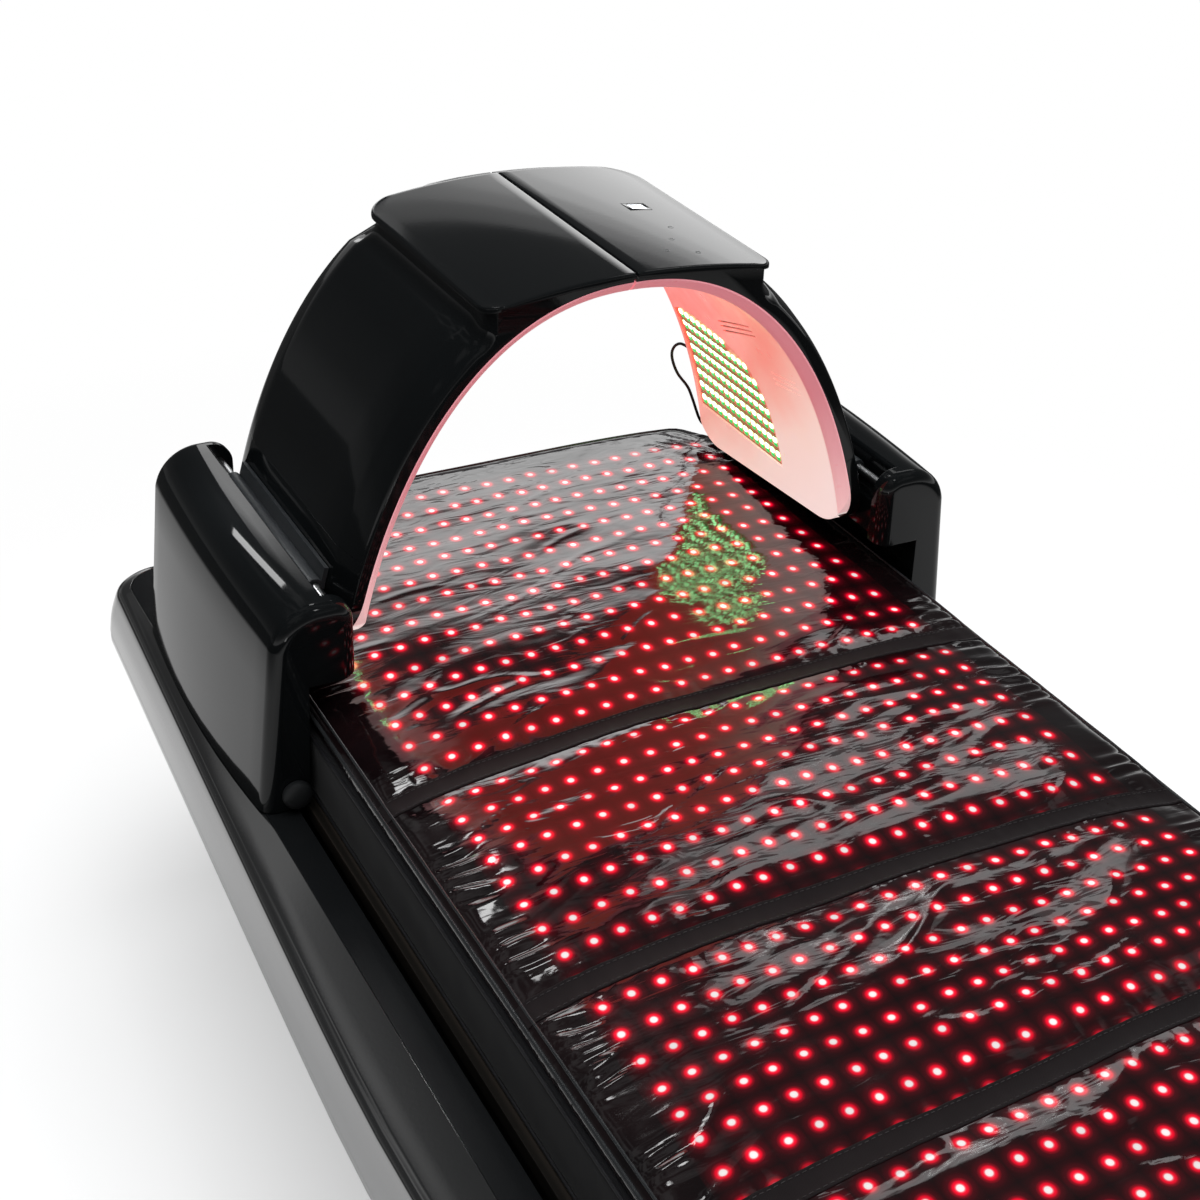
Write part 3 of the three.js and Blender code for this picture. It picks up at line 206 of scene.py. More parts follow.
def block(name, low, high):
    """Box between two corners."""
    verts = [(x, y, z) for x in (low[0], high[0]) for y in (low[1], high[1]) for z in (low[2], high[2])]
    faces = [(0, 1, 3, 2), (4, 6, 7, 5), (0, 4, 5, 1), (2, 3, 7, 6), (0, 2, 6, 4), (1, 5, 7, 3)]
    return object_of(name, verts, faces, 0)


def lathe(name, profile, centre, axis, sides):
    """Turned piece. Profile is (distance along the axis, radius) from centre; axis is a direction."""
    n = Vector(axis).normalized()
    u = n.orthogonal().normalized()
    v = n.cross(u)
    c = Vector(centre)
    rings = []
    for along, radius in profile:
        rings.append([tuple(c + n * along + (u * math.cos(a) + v * math.sin(a)) * max(radius, 0.01))
                      for a in turns(sides)])
    return loft(name, rings, 35)


def applied(obj):
    """Puts the result of the object's modifiers into its mesh."""
    graph = bpy.context.evaluated_depsgraph_get()
    graph.update()
    mesh = bpy.data.meshes.new_from_object(obj.evaluated_get(graph))
    obj.modifiers.clear()
    obj.data = mesh
    return obj


def carve(obj, cutter, how="DIFFERENCE"):
    """Boolean of obj with cutter, which is removed."""
    m = obj.modifiers.new("cut", "BOOLEAN")
    m.operation, m.solver, m.object = how, "EXACT", cutter
    applied(obj)
    bpy.data.objects.remove(cutter)
    return obj


def keep_normals(obj, source):
    """Smooth normals of the uncut surface on every face that still lies on it; other faces stay plain."""
    mesh = obj.data
    src = source.data
    tree = BVHTree.FromPolygons([v.co for v in src.vertices], [p.vertices[:] for p in src.polygons])
    src.calc_loop_triangles()
    corner = np.zeros(len(src.loops) * 3)
    src.corner_normals.foreach_get("vector", corner)
    corner = corner.reshape(-1, 3)
    cos_limit = math.cos(math.radians(28))
    normals = []
    for poly in mesh.polygons:
        n = poly.normal
        for li in poly.loop_indices:
            co = mesh.vertices[mesh.loops[li].vertex_index].co
            probe = co + (poly.center - co) * 0.02
            _, _, index, away = tree.find_nearest(probe)
            kept = n
            if index is not None and away < 2e-4:
                sp = src.polygons[index]
                weights, total = Vector((0, 0, 0)), 0
                for l2 in sp.loop_indices:
                    d = (src.vertices[src.loops[l2].vertex_index].co - co).length
                    w = 1 / max(d, 1e-6) ** 2
                    weights += Vector(corner[l2]) * w
                    total += w
                smooth = (weights / total).normalized()
                if smooth.dot(n) > cos_limit:
                    kept = smooth
            normals.append(tuple(kept))
    mesh.polygons.foreach_set("use_smooth", [True] * len(mesh.polygons))
    mesh.normals_split_custom_set(normals)


def cut_keeping(obj, *cutters):
    """Cuts the object and keeps the smooth normals of what is left."""
    whole = bpy.data.objects.new("whole", obj.data.copy())
    for cutter in cutters:
        carve(obj, cutter)
    keep_normals(obj, whole)
    bpy.data.objects.remove(whole)


def mirror_of(obj, name):
    """Mirror image on the left."""
    mesh = obj.data.copy()
    had = mesh.has_custom_normals
    normals = []
    if had:
        kept = np.zeros(len(mesh.loops) * 3)
        mesh.corner_normals.foreach_get("vector", kept)
        normals = kept.reshape(-1, 3) * (-1, 1, 1)
    mesh.transform(Matrix.Scale(-1, 4, (1, 0, 0)))
    order = []
    for p in mesh.polygons:
        order += [p.loop_indices[0], *reversed(p.loop_indices[1:])] if had else []
    mesh.flip_normals()
    if had:
        mesh.normals_split_custom_set([tuple(normals[i]) for i in order])
    twin = bpy.data.objects.new(name, mesh)
    bpy.context.scene.collection.objects.link(twin)
    return twin


def dress(obj, material, body, node=None):
    """Gives a piece its material, its body and the CAD node that it replaces."""
    obj.data.materials.clear()
    obj.data.materials.append(material)
    if body:
        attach(obj, body)
    if node:
        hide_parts(node)


def dress_pair(piece, twin, material, bodies, node):
    """The same for a right piece and its mirror image."""
    for one, body, side in zip((piece, twin), bodies, ("_right", "_left")):
        dress(one, material, body, node + side)


on_base = ("base", "base")
on_carriages = ("carriage_right", "carriage_left")
on_arches = ("arch_right", "arch_left")


# Sizes, as in the CAD source
mat_top, mat_half_w, mat_half_l, mat_thick = 560, 392, 941, 20
deck_top, seam, deck_half = 435, 365, 455.2
base_half_l, base_mid_half = 1060, 512.2
arch_a, arch_b, arch_root, arch_n = 356, 642, 338, 2.21
near_end, far_end = 472, 906
arch_near, arch_far = 511, 878
carriage_mid = 689
hinge_x, hinge_z = 360, 662

# Lead: height of its upper gland over the mat, how far outside the arch's curve it leaves, and its lower end
lead_rise, lead_out, lead_end_x, lead_radius = 126, 7, 424, 2.0
# Its route: share of the way between the glands, beyond the arch's far end, below the upper gland
lead_route = [
    (0.000, 7, 0), (0.000, 12, 0), (-0.012, 17.5, -0.6), (-0.046, 22.8, -3.2), (-0.100, 26.2, -7),
    (-0.166, 27.4, -9.9), (-0.234, 27, -8.3), (-0.278, 26, -2.4), (-0.286, 25, 5.1), (-0.269, 24, 14),
    (-0.236, 23.3, 23.4), (-0.190, 22.9, 32.8), (-0.133, 22.8, 41.1), (-0.072, 22.8, 49.1),
    (-0.011, 23.2, 58.6), (0.069, 24.2, 77.1), (0.144, 26.5, 95.1), (0.220, 30, 111),
    (0.310, 34.8, 123.5), (0.425, 40, 130.6),
    (0.558, 45, 133.6), (0.680, 50.5, 137.4), (0.780, 55, 147), (0.855, 57.5, 165), (0.915, 58.5, 187),
    (0.958, 57.5, 206), (0.986, 53, 218.4), (1.000, 44.5, 223.1), (1.000, 36, 223.4),
]


def arch_point(angle, offset):
    x = arch_a * max(0, math.sin(angle)) ** (2 / arch_n)
    z = arch_b * max(0, math.cos(angle)) ** (2 / arch_n)
    nx = (x / arch_a) ** (arch_n - 1) / arch_a
    nz = (z / arch_b) ** (arch_n - 1) / arch_b
    size = math.hypot(nx, nz)
    return x + offset * nx / size, arch_root + z + offset * nz / size


def angle_at(height):
    return math.acos(((height - arch_root) / arch_b) ** (arch_n / 2))


def angle_at_x(x):
    return math.asin((x / arch_a) ** (arch_n / 2))


def run(start, end, steps, offset):
    return [arch_point(mix(start, end, s), offset) for s in fractions(steps)]


# Materials
def tree_of(name):
    material = bpy.data.materials.new(name)
    material.use_nodes = True
    tree = material.node_tree
    tree.nodes.clear()
    out = tree.nodes.new("ShaderNodeOutputMaterial")
    shader = tree.nodes.new("ShaderNodeBsdfPrincipled")
    tree.links.new(shader.outputs[0], out.inputs[0])
    return material, tree, shader


def feed(tree, socket, value):
    if isinstance(value, bpy.types.NodeSocket):
        tree.links.new(value, socket)
    else:
        socket.default_value = value


def put(tree, kind, inputs=None, **settings):
    """A node with its settings; an input is a value or another node's output."""
    node = tree.nodes.new("ShaderNode" + kind)
    for key, value in settings.items():
        setattr(node, key, value)
    for key, value in (inputs or {}).items():
        feed(tree, node.inputs[key], value)
    return node


def set_in(tree, node, **values):
    for key, value in values.items():
        feed(tree, node.inputs[key.replace("_", " ")], value)


def ramp(tree, source, stops):
    node = tree.nodes.new("ShaderNodeValToRGB")
    tree.links.new(source, node.inputs[0])
    elements = node.color_ramp.elements
    while len(elements) < len(stops):
        elements.new(0.5)
    for element, (place, colour) in zip(elements, stops):
        element.position = place
        element.color = (*colour, 1) if len(colour) == 3 else colour
    return node.outputs[0]


def grey(v):
    return (v, v, v)


def maths(tree, how, a, b=0.0, c=0.0):
    return put(tree, "Math", {0: a, 1: b, 2: c}, operation=how).outputs[0]


def places(tree, scale=(1, 1, 1)):
    """Object coordinates in metres, stretched."""
    coords = put(tree, "TexCoord").outputs["Object"]
    return put(tree, "Mapping", {"Vector": coords, "Scale": scale}).outputs[0]


def noise_of(tree, scale, detail=3, stretch=(1, 1, 1), rough=0.5):
    return put(tree, "TexNoise", {"Vector": places(tree, stretch), "Scale": scale, "Detail": detail,
                                  "Roughness": rough}).outputs["Fac"]


def eased(tree, value, low, high):
    """Rises smoothly from 0 to 1 between two values."""
    return put(tree, "MapRange", {0: value, 1: low, 2: high, 3: 0.0, 4: 1.0},
               interpolation_type="SMOOTHSTEP").outputs[0]


def bump_of(tree, height, strength, distance, normal=None):
    inputs = {"Height": height, "Strength": strength, "Distance": distance}
    if normal is not None:
        inputs["Normal"] = normal
    return put(tree, "Bump", inputs).outputs[0]


def gloss_black(name, tint, low, high, edge=0.0012, index=1.34, coat=0.05):
    """Lacquered moulding: faint orange peel, wiped haze, soft edges."""
    material, tree, shader = tree_of(name)
    haze = noise_of(tree, 5, 4)
    fine = noise_of(tree, 260, 2)
    specks = noise_of(tree, 1400, 1)
    soft = put(tree, "Bevel", {"Radius": edge}, samples=4).outputs[0]
    peel = bump_of(tree, fine, 0.05, 0.0003, soft)
    colour = ramp(tree, specks, [(0.0, tint), (0.72, tint), (0.8, tuple(c * 2.4 + 0.004 for c in tint))])
    set_in(tree, shader, Base_Color=colour,
           Roughness=ramp(tree, haze, [(0.3, grey(low)), (0.75, grey(high))]), IOR=index,
           Coat_Weight=coat, Coat_Roughness=0.03, Normal=peel)
    return material


def metal(name, tint, rough):
    material, tree, shader = tree_of(name)
    brushed = noise_of(tree, 60, 3, (1, 0.06, 1))
    set_in(tree, shader, Base_Color=ramp(tree, brushed, [(0.3, tuple(c * 0.8 for c in tint)), (0.7, tint)]),
           Metallic=1.0, Roughness=ramp(tree, brushed, [(0.2, grey(rough * 0.8)), (0.8, grey(rough * 1.2))]),
           Normal=bump_of(tree, brushed, 0.15, 0.0002))
    return material


def painted_steel(name, tint, rough):
    material, tree, shader = tree_of(name)
    grain = noise_of(tree, 900, 2)
    patch = noise_of(tree, 8, 3)
    set_in(tree, shader, Base_Color=ramp(tree, patch, [(0.3, tint), (0.7, tuple(c * 1.35 for c in tint))]),
           Roughness=ramp(tree, grain, [(0.3, grey(rough * 0.85)), (0.7, grey(rough * 1.15))]),
           Metallic=0.2, Normal=bump_of(tree, grain, 0.25, 0.0002))
    return material


def rubber(name, tint, rough=0.6):
    material, tree, shader = tree_of(name)
    grain = noise_of(tree, 1500, 2)
    patch = noise_of(tree, 25, 3)
    set_in(tree, shader, Base_Color=ramp(tree, patch, [(0.3, tint), (0.75, tuple(c * 1.6 for c in tint))]),
           Roughness=ramp(tree, patch, [(0.2, grey(rough * 0.85)), (0.8, grey(rough * 1.1))]),
           Normal=bump_of(tree, grain, 0.3, 0.0002))
    return material


def wood(name):
    material, tree, shader = tree_of(name)
    grain = put(tree, "TexWave", {"Vector": places(tree, (1, 0.05, 1)), "Scale": 14, "Distortion": 6,
                                  "Detail": 3}, wave_type="BANDS").outputs["Fac"]
    set_in(tree, shader,
           Base_Color=ramp(tree, grain, [(0.1, (0.007, 0.006, 0.005)), (0.9, (0.02, 0.016, 0.013))]),
           Roughness=0.6, Normal=bump_of(tree, grain, 0.1, 0.0004))
    return material


def woven(name, dark, light, pitch, bump=0.35, sheen=0.3, rough=0.85, shine=0.2):
    """Plain weave: two crossed waves, one thread over the other."""
    material, tree, shader = tree_of(name)
    coords = put(tree, "TexCoord").outputs["Object"]
    split = put(tree, "SeparateXYZ", {0: coords})
    count = math.pi / (pitch * MM)
    across = maths(tree, "ADD", split.outputs[0], split.outputs[2])
    along = maths(tree, "ADD", split.outputs[1], split.outputs[2])
    one = maths(tree, "SINE", maths(tree, "MULTIPLY", across, count))
    two = maths(tree, "SINE", maths(tree, "MULTIPLY", along, count))
    cross = maths(tree, "MULTIPLY", one, two)
    height = maths(tree, "MULTIPLY_ADD", cross, 0.5, 0.5)
    patch = noise_of(tree, 30, 4)
    # Colour follows the weave's height, darker where the threads lie low: painted shade in the weave's
    # hollows, mixed with random patches of tone.
    weave_shade_and_tone = maths(tree, "MULTIPLY_ADD", height, 0.75, maths(tree, "MULTIPLY", patch, 0.25))
    set_in(tree, shader, Base_Color=ramp(tree, weave_shade_and_tone, [(0.15, dark), (0.85, light)]), Roughness=rough,
           Specular_IOR_Level=shine, Sheen_Weight=sheen, Sheen_Roughness=0.5,
           Normal=bump_of(tree, height, bump, 0.0003))
    return material


black_shell = gloss_black("gloss_black_moulding", (0.0032, 0.0038, 0.0042), 0.05, 0.085)
base_shell = gloss_black("gloss_black_base", (0.006, 0.0066, 0.007), 0.06, 0.1, index=3.2, coat=1.0)
deck_black = gloss_black("satin_black_deck", (0.005, 0.0055, 0.006), 0.14, 0.22)
dark_steel = painted_steel("painted_steel", (0.018, 0.02, 0.022), 0.45)
bright_steel = metal("bright_steel", (0.55, 0.56, 0.57), 0.28)
black_rubber = rubber("black_rubber", (0.006, 0.0065, 0.007))
lead_rubber = rubber("lead_jacket", (0.005, 0.005, 0.0055), 0.42)
board_wood = wood("stained_plywood")
side_fabric = woven("mattress_fabric", (0.003, 0.003, 0.0035), (0.011, 0.011, 0.0125), 1.1, sheen=0.05)


# Lead, first of the pieces
def lead_path():
    from_x, from_z = arch_point(angle_at(mat_top + lead_rise), lead_out)
    points = [(mix(from_x, lead_end_x, across), arch_far + beyond, from_z - drop)
              for across, beyond, drop in lead_route]
    return curve_through(points, 4)


route = lead_path()
lead = loft("arch_lead_jacket", tube_rings(route, lead_radius, 14), 60)


def lathed_gland(name, centre):
    """Bush screwed into a shell, with a ribbed, tapering nose that the lead leaves by."""
    profile = [(-6.4, 4.0), (-6.4, 5.2), (-5.8, 5.6), (-3.4, 5.6), (-3.0, 5.2), (-2.6, 4.4), (-0.2, 4.4)]
    for i in range(4):
        at, r = 0.2 + i * 2.6, 4.2 - i * 0.42
        profile += [(at, r), (at + 1.5, r), (at + 1.7, r - 0.7), (at + 2.3, r - 0.7)]
    profile += [(10.8, 2.5), (11.6, 2.15), (11.6, 1.9)]
    return lathe(name, profile, centre, (0, 1, 0), 28)


# Base
side_lean, taper, softness = 17, 0.05, 120
base_corner, rim_corner, rim_inset = 60, 50, 11
halves_gap, shell_wall, skirt_wall, skirt_low, foot_inset = 0.4, 5, 4, 24, 154


def bowed(y):
    return base_mid_half - taper * (math.sqrt(y * y + softness * softness) - softness)


def plan_half(width_at, half_length, radius, gap, sides=26, corner=12):
    cy = half_length - radius
    cx = width_at(cy) - radius
    pts = [(gap, half_length)] + [(cx * s, half_length) for s in (0.25, 0.5, 0.75)]
    pts += [(cx + dx, cy + dy) for dx, dy in arc(0, 0, radius, 90, 0, corner)]
    for i in range(1, sides):
        y = cy * (1 - 2 * i / sides)
        pts.append((width_at(y), y))
    pts += [(cx + dx, dy - cy) for dx, dy in arc(0, 0, radius, 0, -90, corner)]
    pts += [(cx * s, -half_length) for s in (0.75, 0.5, 0.25)] + [(gap, -half_length)]
    return pts


def base_outline(inset):
    return plan_half(lambda y: bowed(y) - inset, base_half_l - inset, base_corner, halves_gap)


def rim_outline(inset):
    return plan_half(lambda y: deck_half - inset, base_half_l - rim_inset - inset, rim_corner, halves_gap)


def wall_shell(name, layers, smooth):
    count = len(layers[0][0])
    rings = []
    for s in range(count):
        rings.append([(*outline[s], height(s) if callable(height) else height) for outline, height in layers])
    return loft(name, rings, smooth)


def smooth_table(xs, ys, x):
    """Monotone cubic through a table."""
    xs, ys = list(xs), list(ys)
    if x <= xs[0]:
        return ys[0]
    if x >= xs[-1]:
        return ys[-1]
    h = [b - a for a, b in zip(xs, xs[1:])]
    d = [(ys[i + 1] - ys[i]) / h[i] for i in range(len(h))]
    m = [d[0]] + [0 if d[i - 1] * d[i] <= 0 else 2 * d[i - 1] * d[i] / (d[i - 1] + d[i])
                  for i in range(1, len(d))] + [d[-1]]
    i = max(k for k in range(len(h)) if xs[k] <= x)
    t = (x - xs[i]) / h[i]
    return (ys[i] * (1 + 2 * t) * (1 - t) ** 2 + h[i] * m[i] * t * (1 - t) ** 2
            + ys[i + 1] * t * t * (3 - 2 * t) + h[i] * m[i + 1] * t * t * (t - 1))


def side_shell():
    rim, shoulder = rim_outline(-0.3), base_outline(0)
    ledge = [math.dist(a, b) for a, b in zip(rim, shoulder)]
    top = [deck_top - 2 - 0.17 * w for w in ledge]
    leans, falls = (0, 0.28, 0.55, 0.85, 1), (0, 0.08, 0.3, 0.65, 1)

    def ledge_layer(share, lift):
        outline = [(mix(a[0], b[0], share), mix(a[1], b[1], share)) for a, b in zip(rim, shoulder)]
        return outline, (lambda s: mix(deck_top, top[s], share) + lift)

    def wall_layer(k):
        lean = side_lean * smooth_table(falls, leans, k)
        return base_outline(-lean), (lambda s: mix(top[s], seam + 0.3, k))

    steps = [0, 0.012, 0.03, 0.05, 0.08, 0.12, 0.18, 0.25, 0.33, 0.42, 0.52, 0.62, 0.72, 0.82, 0.91, 0.975, 1]
    layers = [ledge_layer(0, 0), ledge_layer(0.5, 0.3), ledge_layer(0.86, 0.5)]
    layers += [wall_layer(k) for k in steps]
    layers.append((base_outline(-side_lean + 1.2), seam + 0.3))
    layers += [(base_outline(shell_wall - side_lean * smooth_table(falls, leans, k)),
                (lambda s, k=k: min(mix(top[s], seam + 0.3, k), top[s] - shell_wall)))
               for k in (1, 0.65, 0.3, 0.08, 0)]
    layers.append((rim, deck_top - shell_wall))
    return wall_shell("side_shell_moulding_right", layers, 38)


def skirt():
    depth = seam - skirt_low
    insets = (0, 0, 0.047, 0.111, 0.216, 0.708, 0.988, 1)
    falls = (0, 0.035, 0.059, 0.111, 0.205, 0.543, 0.909, 1)
    inset_of = lambda f: mix(-side_lean, foot_inset, smooth_table(falls, insets, f))
    steps = [0, 0.006, 0.02, 0.035, 0.043, 0.052, 0.062, 0.08, 0.1, 0.13, 0.17, 0.205, 0.26, 0.34, 0.43,
             0.543, 0.64, 0.73, 0.82, 0.909, 0.97, 1]
    outer = [(base_outline(inset_of(f) + (1.0 if f == 0 else 0.3 if f == 0.006 else 0)), seam - depth * f)
             for f in steps]
    inner = [(base_outline(inset_of(f) + skirt_wall), seam - depth * f + (2 if 0 < f < 1 else 0))
             for f in falls[::-1]]
    return wall_shell("skirt_moulding_right", outer + inner, 42)


shell_right = side_shell()
shell_left = mirror_of(shell_right, "side_shell_moulding_left")
inlet_x, inlet_half = -250, 37.3
inlet_box = [(inlet_x - inlet_half, 916, 377.7), (inlet_x + inlet_half, 1092, 408.3)]
cut_keeping(shell_left, block("inlet_cutter", *inlet_box))
dress_pair(shell_right, shell_left, base_shell, on_base, "side_shell")
skirt_right = skirt()
skirt_left = mirror_of(skirt_right, "skirt_moulding_left")
dress_pair(skirt_right, skirt_left, base_shell, on_base, "skirt")


# Pedestals
def rounding(place, radius):
    if place >= radius:
        return 0
    rest = radius - max(place, 0)
    return radius - math.sqrt(radius * radius - rest * rest)


ped_bottom, head_bottom, head_top = deck_top + 1.5, 591.5, 686.5
leg_inner, foot_x, head_inner = 405, 458, 343
end_round, bow_depth, bow_reach = 16, 12.5, 225
shoulder_x, shoulder_z, shoulder_r = 381.5, 628.5, 58
corner_x, corner_z, corner_r = 370, 659.5, 27


def pedestal_ring(y, wall, open_bottom):
    inset = wall + rounding(min(y - near_end, far_end - y), end_round)
    bow = bow_depth * (1 - ((y - carriage_mid) / bow_reach) ** 2)
    bottom = ped_bottom - 20 if open_bottom else ped_bottom
    leg = lambda z: leg_inner + wall - 5 * (z - ped_bottom) / (head_bottom - ped_bottom)
    round_r = shoulder_r - inset
    shoulder = [(shoulder_x + (round_r + 0.7 * bow) * c, shoulder_z + round_r * s + 0.66 * bow * s * c)
                for c, s in arc(0, 0, 1, 12, 90, 22)]
    corner = arc(corner_x, corner_z, corner_r - inset, 90, 180, 12)
    foot = foot_x - inset + bow + 0.097 * (ped_bottom - bottom)
    wall_run = [(mix(foot, shoulder[0][0], s), mix(bottom, shoulder[0][1], s)) for s in (0, 0.25, 0.5, 0.75)]
    under = [(head_inner + inset, head_bottom + wall + 3), (head_inner + inset + 1, head_bottom + wall + 1),
             (head_inner + inset + 3, head_bottom + wall)]
    return [(x, y, z) for x, z in [(leg(bottom), bottom), *wall_run, *shoulder, *corner, *under,
                                   (leg(head_bottom), head_bottom + wall)]]


def pedestal_body(name, wall, first, open_bottom):
    ends = [0, 0.3, 0.8, 1.5, 2.4, 3.6, 5.2, 7.2, 10, 13, 16]
    ends = [first] + [e for e in ends if e > first]
    mid = [near_end + (far_end - near_end) * s for s in (0.1, 0.2, 0.32, 0.44, 0.56, 0.68, 0.8, 0.9)]
    ys = [near_end + e for e in ends] + mid + [far_end - e for e in reversed(ends)]
    return loft(name, [pedestal_ring(y, wall, open_bottom) for y in ys], 35)


def recess_outline(grow):
    inner = head_inner - 20
    throat, wall, lip, lip_low = 356.5 + grow, 371.5 + grow, 375 + grow, 679.5
    top = 634 - grow / 2
    ease = [(mix(throat, wall, smooth_step(0, 1, s)), top + 8 * s) for s in (0.15, 0.3, 0.5, 0.7, 0.85)]
    lips = [(mix(wall, lip, s * s), mix(lip_low, head_top, s)) for s in (0.3, 0.6, 0.85)]
    return [(inner, head_bottom - 20), (throat, head_bottom - 20), (throat, top), *ease, (wall, top + 8),
            (wall, lip_low), *lips, (lip, head_top), (lip, head_top + 20), (inner, head_top + 20)]


pedestal = pedestal_body("pedestal_moulding_right", 0, 0, False)
recess_near, recess_far, pin_hole_r = 498, 885, 6.3
recess = prism_y("recess", recess_outline(0), recess_near, recess_far)
hollow = pedestal_body("hollow", 4, 5, True)
carve(hollow, prism_y("keep", recess_outline(4), recess_near - 4, far_end))
pin_hole = lathe("pin_hole", [(0, pin_hole_r), (411, pin_hole_r)], (hinge_x, 486, hinge_z), (0, 1, 0), 32)
cut_keeping(pedestal, recess, hollow, pin_hole)
pedestal_left = mirror_of(pedestal, "pedestal_moulding_left")
dress_pair(pedestal, pedestal_left, black_shell, on_carriages, "pedestal")

bumper_x, bumper_z = 421, 458
bumper_profile = [(0, 12), (0.2, 15.5), (0.6, 16.6), (1.6, 17), (7, 17), (8.6, 16.4), (10.6, 15),
                  (12.2, 12.4), (13.3, 9), (13.85, 5), (14, 0)]
for side, sign in (("right", 1), ("left", -1)):
    centre = (sign * bumper_x, near_end - 0.3, bumper_z)
    piece = lathe("bumper_" + side + "_rubber", bumper_profile, centre, (0, -1, 0), 40)
    dress(piece, black_rubber, "carriage_" + side, "bumper_" + side)


# Arch
half_gap, skin, wing_off, tip_off, wing_seam = 1.5, 5, 28, 12, 701
roof_half, cap_half, cap_top0, cap_fall, cap_thick = 172, 178, 992, 17, 6
roof_far, bevel_run, near_radius, far_radius = 859, 45, 25, 45
cap_near, cap_far, cap_rim = 506, 860, 5
bevel_at, bevel_share = (0, 8, 19, 45), (0.5, 0.64, 0.78, 1)
fine_bevel = [0, 0.4, 1, 2, 3.5, 5.5, 8, 11, 15, 19, 24, 30, 37, 45]


def share_at(place):
    rim = 0.07 * (1 - min(1, place / 2.2)) ** 2
    return smooth_table(bevel_at, bevel_share, place) - rim


def cap_top(x):
    return cap_top0 - cap_fall * (x / cap_half) ** 2


def roof_level(x):
    return cap_top(x) - cap_thick - 0.5


def upper_ring(y, share):
    offset = wing_off * share
    side = roof_half - rounding(y - arch_near + 5, near_radius) - rounding(roof_far - y, far_radius)
    beyond = y > roof_far + 0.3
    wing_end = angle_at_x(roof_half + 4)
    wing = run(angle_at(wing_seam), wing_end, 40, offset)
    ex, ez = wing[-1]
    curve_z = lambda x: arch_point(angle_at_x(x), 0)[1] + offset
    roof_at = lambda x: min(roof_level(x), curve_z(x)) if beyond else roof_level(x)
    end_z = min(ez + 30, roof_at(side) - 2)
    bend_z = min(ez + (ex - side) * 0.45, end_z)
    fillet = []
    for t in (0.1, 0.22, 0.35, 0.5, 0.62, 0.75, 0.88):
        a, b, c = (1 - t) ** 2, 2 * t * (1 - t), t * t
        fillet.append((a * ex + (b + c) * side, a * ez + b * bend_z + c * end_z))
    roof = [(x, roof_at(x)) for x in (mix(half_gap, side, s) for s in
                                       (1, 0.985, 0.95, 0.9, 0.8, 0.65, 0.5, 0.35, 0.2, 0.1, 0.0))]
    inner = run(angle_at_x(half_gap), angle_at(wing_seam), 48, 0.3)
    return [(x, y, z) for x, z in [*wing, *fillet, *roof, *inner]]


def upper_stations():
    ys = [(arch_near + p, share_at(p)) for p in fine_bevel]
    ys += [(mix(arch_near + bevel_run, roof_far - bevel_run, s), 1) for s in (0.2, 0.4, 0.6, 0.8)]
    ys += [(roof_far - p, 1 if arch_far - roof_far + p >= bevel_run else share_at(arch_far - roof_far + p))
           for p in (45, 37, 30, 24, 19, 15, 11, 8, 5.5, 3.5, 2, 1, 0.3, 0)]
    ys += [(roof_far + 0.35, share_at(arch_far - roof_far - 0.35))]
    ys += [(arch_far - p, share_at(p)) for p in (15, 11, 8, 5.5, 3.5, 2, 1, 0.4, 0)]
    return ys


upper = loft("arch_moulding_right", [upper_ring(y, s) for y, s in upper_stations()], 40)
mid_x = half_gap + skin
pocket_wing = run(angle_at(wing_seam + 10), angle_at_x(150), 20, wing_off - skin)
pocket_roof = [(x, roof_level(x) - skin) for x in (150, mix(mid_x, 150, 0.5), mid_x)]
pocket_in = run(angle_at_x(mid_x), angle_at(wing_seam + 10), 20, -20)
pocket_in[0] = (mid_x, pocket_in[0][1])
cut_keeping(upper, prism_y("pocket", pocket_wing + pocket_roof + pocket_in, arch_near + bevel_run,
                           arch_far - bevel_run))
upper_left = mirror_of(upper, "arch_moulding_left")
dress_pair(upper, upper_left, black_shell, on_arches, "arch_shell")


# Lower shell with its slanted, rounded tip
tip_height, tip_slope, near_round, far_round = 594, 0.085, 70, 50


def tip_level(y):
    return tip_height - tip_slope * (y - arch_near - bevel_run)


tip_low = tip_level(arch_far) - 6


def tongue(grow):
    near, far = arch_near - grow, arch_far + grow
    top = cap_top0 + 20
    stretch = math.hypot(1, tip_slope)
    slope = math.degrees(math.atan(tip_slope))
    ny, fy = near + near_round, far - far_round
    nz, fz = tip_level(ny) - grow + near_round * stretch, tip_level(fy) - grow + far_round * stretch
    near_corner = arc(ny, nz, near_round, 180, 270 - slope, 20)
    far_corner = arc(fy, fz, far_round, 270 - slope, 360, 20)
    return [*near_corner, *far_corner, (far, top), (near, top)]


def lower_offset(up):
    return mix(tip_off, wing_off, min(1, up * 1.5))


def lower_ring(y, share):
    start, end = angle_at(tip_low), angle_at(wing_seam - 0.3)
    outer = [arch_point(mix(start, end, s), share * lower_offset(s)) for s in fractions(24)]
    inner = run(end, start, 24, 0.3)
    return [(x, y, z) for x, z in outer + inner]


